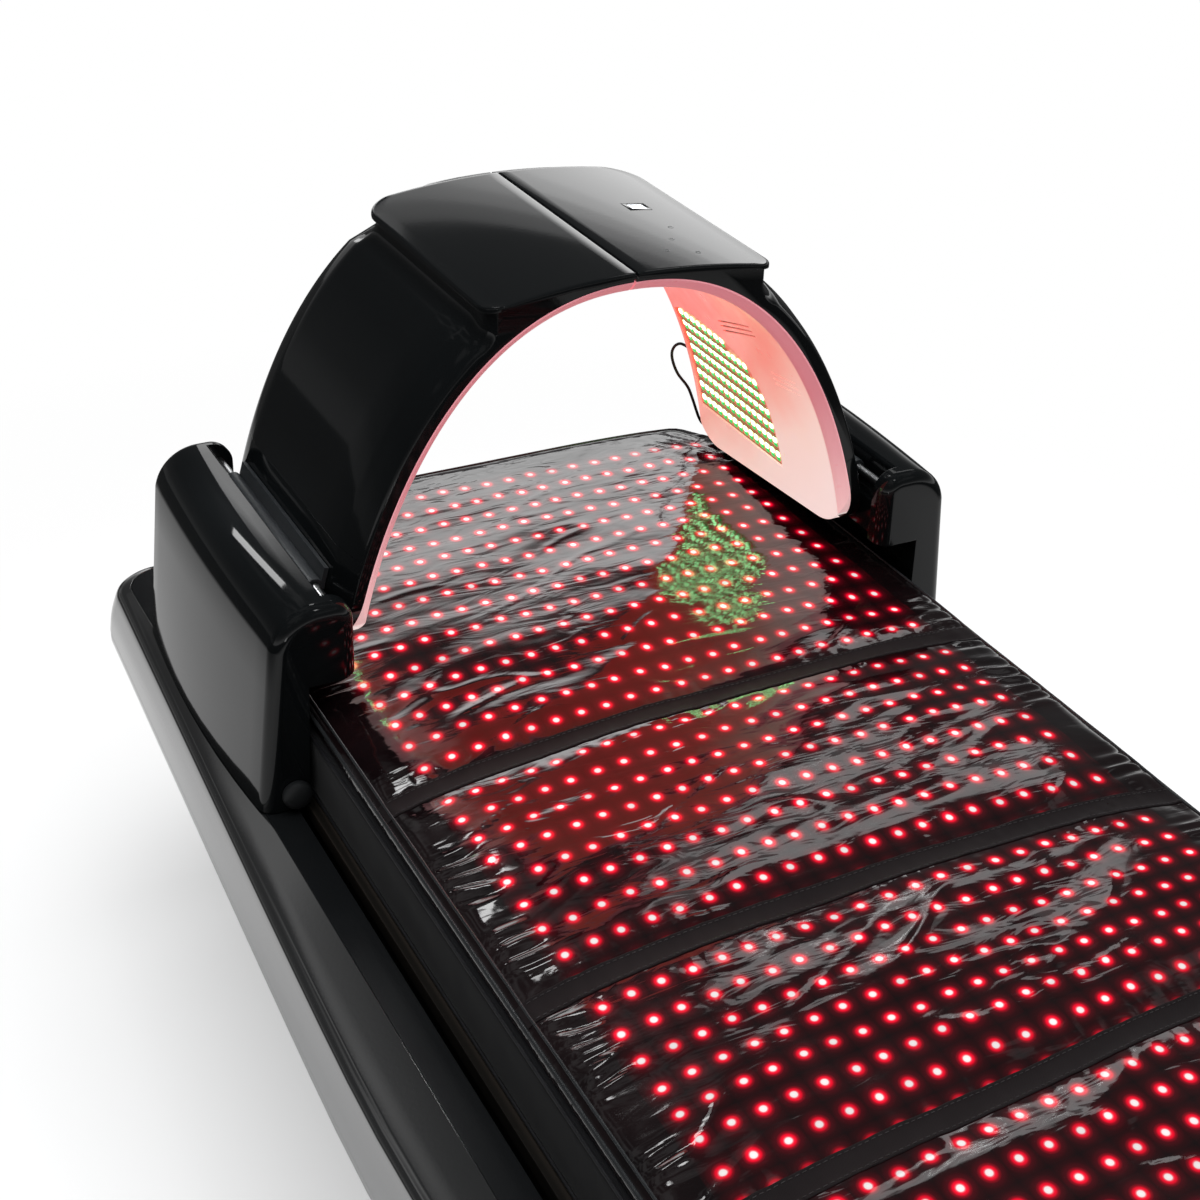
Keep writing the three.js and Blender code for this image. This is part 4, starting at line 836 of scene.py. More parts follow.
lower_ys = [(arch_near + p, share_at(p)) for p in fine_bevel]
lower_ys += [(mix(arch_near + bevel_run, arch_far - bevel_run, s), 1) for s in (0.25, 0.5, 0.75)]
lower_ys += [(arch_far - p, share_at(p)) for p in reversed(fine_bevel)]
wing = loft("wing_moulding_right", [lower_ring(y, s) for y, s in lower_ys], 40)
pocket_low, pocket_high, pocket_end = angle_at(604), angle_at(wing_seam - 0.3 - skin), 50
pocket_sides = run(pocket_low, pocket_high, 12, tip_off - skin) + run(pocket_high, pocket_low, 12, -20)
cut_keeping(wing, prism_y("pocket", pocket_sides, arch_near + pocket_end, arch_far - pocket_end))
outside = 410
carve(wing, prism_x("tongue", tongue(0), 0, outside), "INTERSECT")
source = loft("source", [lower_ring(y, s) for y, s in lower_ys], 40)
keep_normals(wing, source)
bpy.data.objects.remove(source)
wing_left = mirror_of(wing, "wing_moulding_left")
dress_pair(wing, wing_left, black_shell, on_arches, "wing_shell")


# Caps
def cap_ring(y):
    edge = cap_half - rounding(y - cap_near, near_radius) - rounding(cap_far - y, far_radius)
    thin = min(1, max(0.0, min(y - cap_near, cap_far - y)) / 3.2)
    ease = math.sqrt(max(0, 1 - (1 - thin) ** 2))
    top_of = lambda x: cap_top(x) - 2.4 * (1 - ease)
    xs = [mix(half_gap + 1.2, edge - cap_rim, s) for s in (0, 0.08, 0.2, 0.35, 0.5, 0.65, 0.8, 0.92, 1)]
    middle = [(half_gap, top_of(half_gap) - 1.1), (half_gap + 0.35, top_of(half_gap) - 0.35)]
    rim = [(edge - cap_rim + cap_rim * math.sin(a), top_of(edge - cap_rim) - 3 * (1 - math.cos(a)))
           for a in (math.radians(d) for d in (18, 36, 54, 72, 90))]
    under = [(x, cap_top(x) - cap_thick) for x in (edge, mix(half_gap, edge, 0.5), half_gap)]
    return [(x, y, z) for x, z in [*middle, *[(x, top_of(x)) for x in xs], *rim, *under]]


cap_ys = [cap_near, 506.15, 506.5, 507.1, 508, 509.5, 511.5, 514, 518, 524, 531, 560, 600, 650, 700, 750,
          790, 815, 823, 831, 838, 844, 849, 853, 856, 858, 859.2, 859.8, cap_far]
cap = loft("cap_moulding_right", [cap_ring(y) for y in cap_ys], 40)
cap_left = mirror_of(cap, "cap_moulding_left")


display_x, display_y, display_half_x, display_half_y = 107, 704, 15, 12


def display_frame(grow, low, high):
    half_x, half_y, level = display_half_x + grow, display_half_y + grow, cap_top(display_x)
    return ((display_x - half_x, display_y - half_y, level + low),
            (display_x + half_x, display_y + half_y, level + high))


cut_keeping(cap, block("display_cutter", *display_frame(0.3, -2, 20)))
dress_pair(cap, cap_left, black_shell, on_arches, "arch_cap")


# Liner and light board
def liner_depth(y):
    """How far the liner reaches inward: 14 mm in the middle and 1.5 mm at both ends."""
    away = min(y - arch_near, (arch_far - y) * 1.4)
    return 14 - 12.5 * (1 - smooth_step(-4, 14, away)) / (1 - smooth_step(-4, 14, 0))


def liner_ring(y):
    def curve(offset):
        start = (half_gap, arch_point(angle_at_x(half_gap), offset)[1])
        return [start] + run(angle_at_x(8), angle_at(tip_low), 110, offset)

    return [(max(x, half_gap), y, z) for x, z in curve(0) + curve(-liner_depth(y))[::-1]]


window_near, window_far, window_low, window_high = 652, 862, 626, 787


def window_outline():
    along = [0, 0, 0.024, 0.048, 0.095, 0.152, 0.229, 0.42, 0.705, 0.895, 1, 1]
    up = [0, 0.087, 0.385, 0.553, 0.708, 0.814, 0.894, 0.957, 1, 0.975, 0.92, 0]
    bends = [mix(along[i], along[i + 1], s) for i in range(1, 10) for s in (0, 0.34, 0.67)] + [1]
    table = [0.0001 * i + a for i, a in enumerate(along[1:11])]
    rises = [smooth_table(table, up[1:11], a + 0.0005) for a in bends]
    around = [(bends[0], 0)] + list(zip(bends, rises)) + [(1, 0)]
    return [(mix(window_near, window_far, a), mix(window_low, window_high, u)) for a, u in around]


liner_ys = [511, 511.5, 512.2, 513.2, 514.4, 516, 518, 520, 522, 524, 526, 530, 580, 640, 700, 760, 820, 858,
            863, 866, 869, 871, 873, 875, 876.4, 877.4, 878]
liner = loft("liner_moulding_right", [liner_ring(y) for y in liner_ys], 40)
tray_top, tray_low = angle_at_x(4.5), angle_at(603)
tray = run(tray_top, tray_low, 60, 20) + run(tray_low, tray_top, 60, -11)
slits, slit_width = [], 2.4
for y, z, half, rise, pitch in ((660, 828, 56, 0.36, 7.2), (582, 783, 32, 0.2, 8.5)):
    for row in (-1, 0, 1):
        level, lift = z + row * pitch, half * rise
        low_edge = [(y - half, level + lift), (y + half, level - lift)]
        high_edge = [(y + half, level - lift + slit_width), (y - half, level + lift + slit_width)]
        slits.append(prism_x("slit", low_edge + high_edge, 0, arch_a))
cut_keeping(liner, prism_y("tray", tray, 528, 865), prism_x("window", window_outline(), 0, arch_a), *slits)
smooth_ys = (511, 512.2, 514.4, 518, 522, 526, 700, 863, 869, 873, 876.4, 878)
liner_whole = loft("whole", [liner_ring(y) for y in smooth_ys])
carve(liner, prism_x("tongue", tongue(-0.3), -5, outside), "INTERSECT")
keep_normals(liner, liner_whole)
bpy.data.objects.remove(liner_whole)
liner_left = mirror_of(liner, "liner_moulding_left")


def painted_glow_moulding(name, stops, strength, rough, flange=None):
    """Plastic with a painted glow: emission that stands in for coloured light falling on it, in a painted
    gradient paler towards its lower near corner.
    """
    material, tree, shader = tree_of(name)
    coords = put(tree, "TexCoord").outputs["Object"]
    split = put(tree, "SeparateXYZ", {0: coords})
    # Painted light: the colour runs by height and by place along the bed, with soft clouds, as the light
    # falling on the moulding would; its emission is no lamp.
    level = maths(tree, "MULTIPLY_ADD", split.outputs[2], 3.0, -1.8)
    far = maths(tree, "MULTIPLY_ADD", split.outputs[1], 1.3, -0.66)
    cloud = maths(tree, "MULTIPLY_ADD", noise_of(tree, 9, 2), 0.16, -0.08)
    rise = maths(tree, "MULTIPLY", level, 0.52)
    place = maths(tree, "ADD", maths(tree, "MULTIPLY_ADD", far, 0.9, rise), cloud)
    colour = ramp(tree, place, stops)
    deep = put(tree, "VectorMath", {0: colour, 3: 0.6}, operation="SCALE").outputs[0]
    # The near flange keeps its own base colour, and its emission is painted light, paler low down and redder
    # high up.
    if flange is not None:
        rim = put(tree, "MapRange", {0: split.outputs[1], 1: 0.5235, 2: 0.5265, 3: 1.0, 4: 0.0}).outputs[0]
        deep = put(tree, "MixRGB", {0: rim, 1: deep, 2: (*flange, 1)}).outputs[0]
        edge = ramp(tree, level, [(0.0, (0.86, 0.60, 0.58)), (0.35, (0.62, 0.30, 0.32)),
                                  (0.6, (0.50, 0.15, 0.18))])
        colour = put(tree, "MixRGB", {0: rim, 1: colour, 2: edge}).outputs[0]
    set_in(tree, shader, Base_Color=deep, Emission_Color=colour, Emission_Strength=strength,
           Roughness=ramp(tree, noise_of(tree, 30, 3), [(0.3, grey(rough * 0.8)), (0.7, grey(rough * 1.2))]),
           Coat_Weight=0.12, Coat_Roughness=0.2,
           Normal=bump_of(tree, noise_of(tree, 180, 2), 0.06, 0.0004))
    return material


# Colours of the painted glow, pale near the lower near corner and deep red further along and higher up.
liner_glow_stops = [(0.10, (1.0, 0.82, 0.79)), (0.26, (1.0, 0.76, 0.69)), (0.38, (1.0, 0.52, 0.44)),
               (0.46, (1.0, 0.32, 0.26)), (0.58, (0.96, 0.17, 0.13)), (0.8, (0.92, 0.09, 0.065))]
liner_plastic = painted_glow_moulding("pink_moulding_painted_glow", liner_glow_stops, 0.72, 0.34, (0.74, 0.36, 0.40))
dress_pair(liner, liner_left, liner_plastic, on_arches, "liner")


def glow(name, colour, strength, rough=0.3):
    material, tree, shader = tree_of(name)
    spread = noise_of(tree, 400, 2)
    tint = ramp(tree, spread, [(0.3, tuple(c * 0.9 for c in colour)), (0.7, colour)])
    set_in(tree, shader, Base_Color=tint, Emission_Color=tint, Emission_Strength=strength, Roughness=rough)
    return material


# The board's plate, ribs and pale reflectors glow: painted light of the diodes falling on them. The diodes
# are the lamps.
board_glow_stops = [(0.1, (0.90, 0.30, 0.24)), (0.7, (0.88, 0.13, 0.075))]
board_face = painted_glow_moulding("board_face_painted_glow", board_glow_stops, 0.65, 0.4)
board_rib = glow("board_rib_painted_glow", (0.36, 0.17, 0.08), 0.5)
board_pale = glow("board_reflector_painted_glow", (0.86, 0.52, 0.42), 0.45)
diode_light = glow("diode_light", (0.36, 1.0, 0.42), 6.0)
diode_green = glow("diode_green", (0.03, 0.58, 0.13), 1.0)


def curve_frame(angle, offset):
    """Point at an offset from the arch's curve, the direction down the curve and the one away from it."""
    x, z = arch_point(angle, offset)
    x2, z2 = arch_point(angle + 0.004, offset)
    size = math.hypot(x2 - x, z2 - z)
    down_dir = ((x2 - x) / size, (z2 - z) / size)
    return (x, z), down_dir, (-down_dir[1], down_dir[0])


board_front = -10.9


def on_board(angle, y, along, out):
    """Point over the face of the light board, a distance along a row's width and out of the face."""
    (x, z), t, n = curve_frame(angle, board_front)
    return x + t[0] * along - n[0] * out * inward, y, z + t[1] * along - n[1] * out * inward


inward = 1 if curve_frame(angle_at(700), 0)[2][0] > 0 else -1


def near_limit(z):
    """Near edge of the window at a level."""
    shape = window_outline()[1:-1]
    for (y0, z0), (y1, z1) in zip(shape, shape[1:]):
        if z0 <= z <= z1:
            return mix(y0, y1, (z - z0) / max(z1 - z0, 1e-6))
    return shape[-1][0] if z > shape[-1][1] else shape[0][0]


def gather(name, pieces, smooth=40):
    verts, faces = [], []
    for v, f in pieces:
        base = len(verts)
        verts += v
        faces += [tuple(base + i for i in face) for face in f]
    return object_of(name, verts, faces, smooth)


def rounded_tablet(angle, y, centre, half_t, half_y, rise, crown):
    """Low block with cut corners and a crowned top on the board."""
    corner = min(half_t, half_y) * 0.42
    plan = [(half_t, -half_y + corner), (half_t, half_y - corner), (half_t - corner, half_y),
            (-half_t + corner, half_y), (-half_t, half_y - corner), (-half_t, -half_y + corner),
            (-half_t + corner, -half_y), (half_t - corner, -half_y)]
    verts = []
    for shrink, out in ((1, 0.3), (1, rise * 0.7), (0.86, rise), (0.5, rise + crown * 0.8)):
        verts += [on_board(angle, y + b * shrink, centre + a * shrink, out) for a, b in plan]
    verts.append(on_board(angle, y, centre, rise + crown))
    faces = [tuple(range(7, -1, -1))]
    for r in range(3):
        faces += [(r * 8 + i, r * 8 + (i + 1) % 8, r * 8 + 8 + (i + 1) % 8, r * 8 + 8 + i) for i in range(8)]
    faces += [(24 + i, 24 + (i + 1) % 8, 32) for i in range(8)]
    return verts, faces


def board_strip(angle, y0, y1, centre, half, rise, bulge):
    """Long bar along the bed with a rounded top and rounded ends."""
    section = [(-half, 0.2), (-half, rise * 0.6), (-half * 0.6, rise + bulge * 0.6), (0, rise + bulge),
               (half * 0.6, rise + bulge * 0.6), (half, rise * 0.6), (half, 0.2)]
    rings = []
    for y, shrink in ((y0, 0.35), (y0 + half * 0.35, 0.8), (y0 + half, 1),
                      (y1 - half, 1), (y1 - half * 0.35, 0.8), (y1, 0.35)):
        rings.append([on_board(angle, y, centre + a * shrink, b) for a, b in section])
    return [p for ring in rings for p in ring], loft_faces(len(section), len(rings))


plate_low, plate_high, plate_back = 620, 793, -8.2
row_low, row_high, rows_end, row_count, diode_pitch = 640, 775, 858, 8, 13.2


def light_board():
    """Plate with rows of two ribs, a pale reflector between them, diodes and their filters."""
    low, high = angle_at(plate_low), angle_at(plate_high)
    section = run(high, low, 40, plate_back) + run(low, high, 40, board_front + 0.2)
    plate = loft("light_board_plate", [[(x, y, z) for x, z in section]
                                       for y in [646, 660] + list(range(680, 860, 20)) + [864]])
    ribs, pale, white, green = [], [], [], []
    for row in range(row_count):
        angle = mix(angle_at(row_high), angle_at(row_low), row / (row_count - 1))
        level = arch_point(angle, 0)[1]
        start = near_limit(level + 4) + 5
        end = rows_end
        for place in (9.6, 13.0):
            ribs.append(board_strip(angle, start, end, place, 0.9, 1.0, 0.5))
        pale.append(board_strip(angle, start, end, 11.3, 1.1, 0.2, 0.25))
        count = int((end - start) / diode_pitch)
        for i in range(count):
            y = start + (end - start) * (i + 0.5) / count
            white.append(rounded_tablet(angle, y, -2.4, 4.1, 4.1, 1.5, 0.7))
            green.append(rounded_tablet(angle, y, 4.9, 2.7, 4.4, 0.9, 0.4))
    return [plate, gather("light_board_ribs", ribs), gather("light_board_reflectors", pale),
            gather("light_board_diodes", white), gather("light_board_filters", green)]


board_parts = light_board()
board_finish = [board_face, board_rib, board_pale, diode_light, diode_green]
for piece, finish in zip(board_parts, board_finish):
    twin = mirror_of(piece, piece.name + "_left")
    piece.name += "_right"
    dress_pair(piece, twin, finish, on_arches, "light_board")


# Display and touch marks on the right cap
def tilted(x, y, lift):
    return x, y, cap_top(x) + lift


def display_plate(name, half_x, half_y, radius, low, high, edge):
    outline = rounded_box(half_x, half_y, radius, 5)
    rings = []
    for shrink, level in ((0, low), (0, high - edge), (edge * 0.3, high - edge * 0.3), (edge, high)):
        keep_x, keep_y = 1 - shrink / half_x, 1 - shrink / half_y
        rings.append([tilted(display_x + a * keep_x, display_y + b * keep_y, level) for a, b in outline])
    return loft(name, rings, 30)


glass_half_x, glass_half_y = display_half_x - 0.1, display_half_y - 0.1
display_glass = display_plate("display_glass", glass_half_x, glass_half_y, 2.2, -1.9, 0.1, 0.4)
display_lit = display_plate("display_lit_field", 9.6, 7.0, 1.2, 0.05, 0.16, 0.04)
lit_field = glow("display_light", (0.80, 0.84, 0.90), 0.9)
dress(display_glass, black_shell, "arch_right", "display_window")
dress(display_lit, lit_field, "arch_right")
marks = []
for mx, my in ((111, 631), (90, 592), (65, 559), (99, 548)):
    ring_verts, around = [], 20
    for radius, lift in ((2.4, 0.0), (2.4, 0.12), (3.3, 0.12), (3.3, 0.0)):
        ring_verts += [tilted(mx + radius * math.cos(a), my + radius * math.sin(a), lift)
                       for a in turns(around)]
    marks.append((ring_verts, closed_faces(around, 4)))
touch = gather("touch_marks", marks)
dress(touch, rubber("touch_mark_print", (0.045, 0.048, 0.05), 0.4), "arch_right")


# Mattress and light mat
class Field:
    """Smooth two-dimensional noise with a fixed seed, about -1 to 1."""
    def __init__(self, seed):
        rng = np.random.default_rng(seed)
        self.order = rng.permutation(512)
        angles = rng.uniform(0, 2 * math.pi, 512)
        self.gx, self.gy = np.cos(angles), np.sin(angles)

    def corner(self, ix, iy, dx, dy):
        h = self.order[(self.order[ix % 512] + iy) % 512]
        return self.gx[h] * dx + self.gy[h] * dy

    def at(self, x, y):
        x, y = np.asarray(x, float) + 300.37, np.asarray(y, float) + 300.71
        ix, iy = np.floor(x).astype(int), np.floor(y).astype(int)
        fx, fy = x - ix, y - iy
        sx, sy = fx ** 3 * (fx * (fx * 6 - 15) + 10), fy ** 3 * (fy * (fy * 6 - 15) + 10)
        a = self.corner(ix, iy, fx, fy)
        b = self.corner(ix + 1, iy, fx - 1, fy)
        c = self.corner(ix, iy + 1, fx, fy - 1)
        d = self.corner(ix + 1, iy + 1, fx - 1, fy - 1)
        return (a + (b - a) * sx + ((c + (d - c) * sx) - (a + (b - a) * sx)) * sy) * 1.5


mat_corner, edge_run, edge_drop = 24, 17, 10.5


def pad_fall(x, y):
    """How far the pad lies under its crown, most at its four corners."""
    across = np.minimum(1, np.abs(x) / mat_half_w)
    corner = np.maximum(0, (across - 0.79) / 0.21) ** 1.5
    along = np.maximum(0, 1 - (mat_half_l - np.abs(y)) / 90) ** 2
    return 16 * across ** 4 + 38 * corner * along


# Stitched strips: place along the mat, bow, where the bow is centred, its reach, and lean across
first_bow = -22.5
strip_lines = [(321, first_bow, 100, 434, 0), (-17.5, -11.5, 30, 350, 0), (-302, 0, 0, 1, 0.05),
               (-545, -8, 40, 400, 0.02), (-790, -6, -20, 400, 0)]


def strip_at(line, x):
    """Where a strip runs; the first one bends only to the left of its centre."""
    base, bow, centre, reach, lean = line
    dx = x - centre
    if bow == first_bow:
        dx = np.minimum(dx, 0)
    return base + bow * (dx / reach) ** 2 + lean * x


folds = [Field(k) for k in range(11, 23)]


def strip_distance(x, y):
    return np.min([np.abs(y - strip_at(line, x)) for line in strip_lines], axis=0)


def vinyl_relief(x, y):
    """Height of the loose clear sheet over the even pad: swells, folds, creases, puckers at the edges."""
    near = strip_distance(x, y)
    away = np.minimum(mat_half_w - np.abs(x), mat_half_l - np.abs(y))
    inside = smooth_step(0, 26, away)
    swell = 3.2 * smooth_step(12, 62, near) - 3.0 * np.exp(-(near / 15) ** 2)
    along = x * 0.975 + y * 0.22
    over = y * 0.975 - x * 0.22
    bend = folds[0].at(x / 170, y / 150) * 26
    calm = 1 - 0.55 * smooth_step(380, 560, y)
    broad = 2.8 * folds[1].at(x / 210, y / 125) + 1.9 * folds[2].at(along / 170, (over + bend) / 66)
    small = 1.25 * folds[3].at(along / 150, (over + bend) / 26) \
        * (0.3 + 1.6 * np.maximum(0, folds[4].at(x / 160, y / 150)))
    line = folds[5].at(along / 260, (over + bend) / 74)
    crease = 1.3 * np.exp(-(line / 0.05) ** 2) * smooth_step(-0.1, 0.35, folds[6].at(x / 110, y / 90))
    side = smooth_step(322, 346, np.abs(x)) * (1 - smooth_step(376, 390, np.abs(x)))
    pucker = side * 2.1 * np.sin(y / 3.4 + 3.2 * folds[7].at(y / 41, x / 90)) \
        * smooth_step(-0.25, 0.3, folds[8].at(y / 95, np.sign(x) * 3.1))
    gathers = np.exp(-((near - 20) / 15) ** 2) * 0.85 * folds[9].at(x / 13, y / 46)
    droop = np.exp(-((np.abs(x) - 330) / 60) ** 2 - ((np.abs(y) - 880) / 50) ** 2) \
        * 2.4 * folds[10].at((x + y) / 18, (x - y) / 90)
    return inside * (swell + calm * (broad + small + crease) + pucker + gathers + droop)


def vinyl_top(x, y):
    rim = np.clip((np.abs(x) - (mat_half_w - edge_run)) / edge_run, 0, 1)
    tip = np.clip((np.abs(y) - (mat_half_l - edge_run)) / edge_run, 0, 1)
    fall = edge_drop * (1 - np.sqrt(np.maximum(0, 1 - np.maximum(rim, tip) ** 2)))
    return mat_top - pad_fall(x, y) - fall + vinyl_relief(x, y)


def pad_half_width(y, radius, half_width, half_length):
    away = half_length - abs(y)
    if away >= radius:
        return half_width
    return half_width - radius + math.sqrt(max(0, radius * radius - (radius - away) ** 2))


def stations(half_length, fine):
    """Places along a pad, close together at its ends."""
    ends = [0, 0.6, 1.6, 3, 5, 7.5, 10.5, 14, 18, 22, 26]
    inner = half_length - ends[-1]
    count = max(2, round(2 * inner / fine))
    mid = [mix(-inner, inner, i / count) for i in range(1, count)]
    return [-half_length + e for e in ends] + mid + [half_length - e for e in ends[::-1]]


def mat_body():
    rows = stations(mat_half_l, 4.2)
    columns = 188
    share = np.linspace(-1, 1, columns + 1)
    share = np.sign(share) * (1 - (1 - np.abs(share)) ** 1.06)
    rings = []
    for y in rows:
        half = pad_half_width(y, mat_corner, mat_half_w, mat_half_l)
        xs = half * share
        top = vinyl_top(xs, np.full_like(xs, y))
        ring = list(zip(xs, np.full_like(xs, y), top))
        under_xs = half * np.array([1, 0.985, 0.9, 0.7, 0.4, 0, -0.4, -0.7, -0.9, -0.985, -1])
        base = mat_top - mat_thick - pad_fall(under_xs, y) + 0.3
        lift = np.array([3, 0.4, 0, 0, 0, 0, 0, 0, 0, 0.4, 3])
        ring += list(zip(under_xs, np.full_like(under_xs, y), base + lift))
        rings.append([tuple(float(c) for c in p) for p in ring])
    return loft("light_mat_vinyl", rings, 60)


# Rows of lights along the mat
row_places = [946, 908, 870, 831, 793, 755, 718, 680, 640, 600, 559, 519, 477, 434, 392, 354, 321, 291,
              254, 219, 185, 145, 106, 66, 24, -12, -52, -90, -124, -158, -190, -222, -260, -292, -332,
              -370, -408, -446, -483, -519, -552, -590, -628, -667, -706, -742, -776, -812, -850, -886,
              -924, -962]


column_pitch, row_pitch, light_size, first_column = 32, 38, 24, 8.17
lit_shift, lit_half, lit_high, lit_low = 5.4, 338, 888, -902


def lattice(x, y):
    """Row and column of the lights at a place, and how bright they are there."""
    lean = np.zeros_like(x)
    spans = [(890, (0, 0, 0, 1, 0))] + [(line[0], line) for line in strip_lines] + [(-930, (0, 0, 0, 1, 0))]
    for (high, upper), (low, lower) in zip(spans, spans[1:]):
        share = np.clip((y - low) / (high - low), 0, 1)
        shift = (strip_at(upper, x) - upper[0]) * share + (strip_at(lower, x) - lower[0]) * (1 - share)
        lean = np.where((y <= high) & (y >= low), shift, lean)
    row = np.interp(-(y - lean), [-p for p in row_places], range(len(row_places)))
    column = x / column_pitch + first_column
    near = strip_distance(x, y)
    lit = smooth_step(9, 24, near) * 0.75 + 0.25
    lit = lit * (np.abs(x + lit_shift) < lit_half) * (y - lean < lit_high) * (y - lean > lit_low)
    lit = lit * (1 - smooth_step(840, 880, y) * 0.35)
    return column, row, lit


def vinyl():
    """Clear glossy sheet over a black pad with a lattice of small red lights under it."""
    material, tree, shader = tree_of("clear_vinyl_over_lights")
    split = put(tree, "SeparateXYZ", {0: put(tree, "Attribute", attribute_name="lattice").outputs["Vector"]})
    column, row, lit = split.outputs[0], split.outputs[1], split.outputs[2]
    cells = [maths(tree, "FLOOR", maths(tree, "ADD", c, 0.5)) for c in (column, row)]
    cell = put(tree, "CombineXYZ", {0: cells[0], 1: cells[1], 2: 0.0}).outputs[0]
    chance = put(tree, "TexWhiteNoise", {"Vector": cell}, noise_dimensions="3D")
    jitter = put(tree, "SeparateXYZ", {0: chance.outputs["Color"]})
    offsets = []
    for k, (c, whole, pitch) in enumerate(((column, cells[0], column_pitch), (row, cells[1], row_pitch))):
        away = maths(tree, "SUBTRACT", c, whole)
        away = maths(tree, "ADD", away, maths(tree, "MULTIPLY_ADD", jitter.outputs[k], 0.09, -0.045))
        offsets.append(maths(tree, "MULTIPLY", away, pitch / light_size))
    distance = maths(tree, "SQRT", maths(tree, "ADD", maths(tree, "MULTIPLY", offsets[0], offsets[0]),
                                         maths(tree, "MULTIPLY", offsets[1], offsets[1])))
    # Each light's white core is the lamp; the pink and red rings fading out round it over the pad are a
    # painted glow of its light.
    light = ramp(tree, distance, [(0.0, (1.0, 1.0, 0.98)), (0.13, (1.0, 0.86, 0.86)),
                                  (0.165, (1.0, 0.16, 0.20)), (0.21, (1.0, 0.006, 0.035)),
                                  (0.27, (0.85, 0.0, 0.02)), (0.34, (0.26, 0.0, 0.008)),
                                  (0.44, (0.06, 0.0, 0.003)), (0.66, (0.018, 0.0, 0.0008)),
                                  (1.0, (0.0025, 0.0, 0.0002))])
    brightness = maths(tree, "MULTIPLY", lit, maths(tree, "MULTIPLY_ADD", jitter.outputs[2], 0.3, 0.82))
    shown = put(tree, "VectorMath", {0: light, 3: brightness}, operation="SCALE").outputs[0]
    cloud = noise_of(tree, 14, 4)
    wrinkled = put(tree, "TexNoise", {"Vector": places(tree, (0.34, 1.1, 0.6)), "Scale": 46.0, "Detail": 2.0,
                                      "Roughness": 0.45, "Distortion": 0.9}).outputs["Fac"]
    loose = ramp(tree, noise_of(tree, 5.5, 2), [(0.40, grey(0.3)), (0.62, grey(1.0))])
    fine = maths(tree, "MULTIPLY", wrinkled, loose)
    pad = ramp(tree, cloud, [(0.3, (0.002, 0.0012, 0.0015)), (0.8, (0.007, 0.003, 0.0035))])
    set_in(tree, shader, Base_Color=pad,
           Emission_Color=shown, Emission_Strength=1.0, IOR=1.6, Coat_Weight=0.4, Coat_Roughness=0.02,
           Roughness=ramp(tree, cloud, [(0.3, grey(0.035)), (0.75, grey(0.12))]),
           Normal=bump_of(tree, fine, 1.0, 0.0016))
    return material


mat_sheet = mat_body()
points = np.zeros(len(mat_sheet.data.vertices) * 3)
mat_sheet.data.vertices.foreach_get("co", points)
points = points.reshape(-1, 3) * 1000
column, row, lit = lattice(points[:, 0], points[:, 1])
lit = lit * (points[:, 2] > mat_top - mat_thick - pad_fall(points[:, 0], points[:, 1]) + 4)
attribute = mat_sheet.data.attributes.new("lattice", "FLOAT_VECTOR", "POINT")
attribute.data.foreach_set("vector", np.stack([column, row, lit], 1).astype(np.float32).ravel())
dress(mat_sheet, vinyl(), "base", "light_mat")

tape_black = woven("strip_tape", (0.003, 0.002, 0.0024), (0.010, 0.0075, 0.008), 0.9, 0.3, 0.03, 0.62)
thread = rubber("black_thread", (0.02, 0.018, 0.019), 0.5)


def strip_tape(index, line):
    """Flat tape with turned edges, lying in the valley between two swells."""
    xs = np.linspace(-(mat_half_w - 3), mat_half_w - 3, 260)
    rings = []
    for x in xs:
        y0 = float(strip_at(line, x))
        sag = 0.5 * float(folds[2].at(x / 40, index))
        ring = []
        for across, lift in ((-13.5, 0.1), (-13.3, 1.1), (-12.4, 1.5), (-11.2, 1.0), (-7, 0.8),
                             (0, 0.8 + 0.3 * sag), (7, 0.8), (11.2, 1.0), (12.4, 1.5), (13.3, 1.1),
                             (13.5, 0.1)):
            y = y0 + across + 0.7 * sag
            ring.append((float(x), y, float(vinyl_top(x, y)) + lift))
        ring += [(p[0], p[1], p[2] - 1.6) for p in (ring[7], ring[5], ring[3])]
        rings.append(ring)
    return loft("mat_strip_%d" % index, rings, 50)


def stitches(name, places, radius):
    """Short raised threads: places are (start, end) pairs."""
    pieces = []
    for start, end in places:
        a, b = np.array(start), np.array(end)
        t = (b - a) / np.linalg.norm(b - a)
        s = np.cross(t, (0, 0, 1.0))
        verts = []
        for share, r in ((0, 0.4), (0.25, 1), (0.75, 1), (1, 0.4)):
            p = a + (b - a) * share + np.array((0, 0, 0.25 * math.sin(math.pi * share)))
            verts += [tuple(p + radius * r * (s * math.cos(k) + np.array((0, 0, 1)) * math.sin(k)))
                      for k in turns(6)]
        pieces.append((verts, loft_faces(6, 4)))
    return gather(name, pieces, 60)


seams, stitch_pitch, stitch_length, seam_offset = [], 7.0, 4.6, 10.2
for index, line in enumerate(strip_lines):
    tape = strip_tape(index + 1, line)
    dress(tape, tape_black, "base")
    for across in (-seam_offset, seam_offset):
        for x in np.arange(-380, 380, stitch_pitch):
            ends = []
            for px in (x, x + stitch_length):
                y = float(strip_at(line, px)) + across
                ends.append((px, y, float(vinyl_top(px, y)) + 1.1))
            seams.append(tuple(ends))
dress(stitches("mat_strip_stitches", seams, 0.42), thread, "base")


def perimeter(half_width, half_length, radius, inset, spacing):
    """Closed run round a pad, moved inward."""
    points = rounded_box(half_width - inset, half_length - inset, max(4, radius - inset), 8)
    out = []
    for (x0, y0), (x1, y1) in zip(points, points[1:] + points[:1]):
        count = max(1, round(math.hypot(x1 - x0, y1 - y0) / spacing))
        out += [(mix(x0, x1, i / count), mix(y0, y1, i / count)) for i in range(count)]
    return out


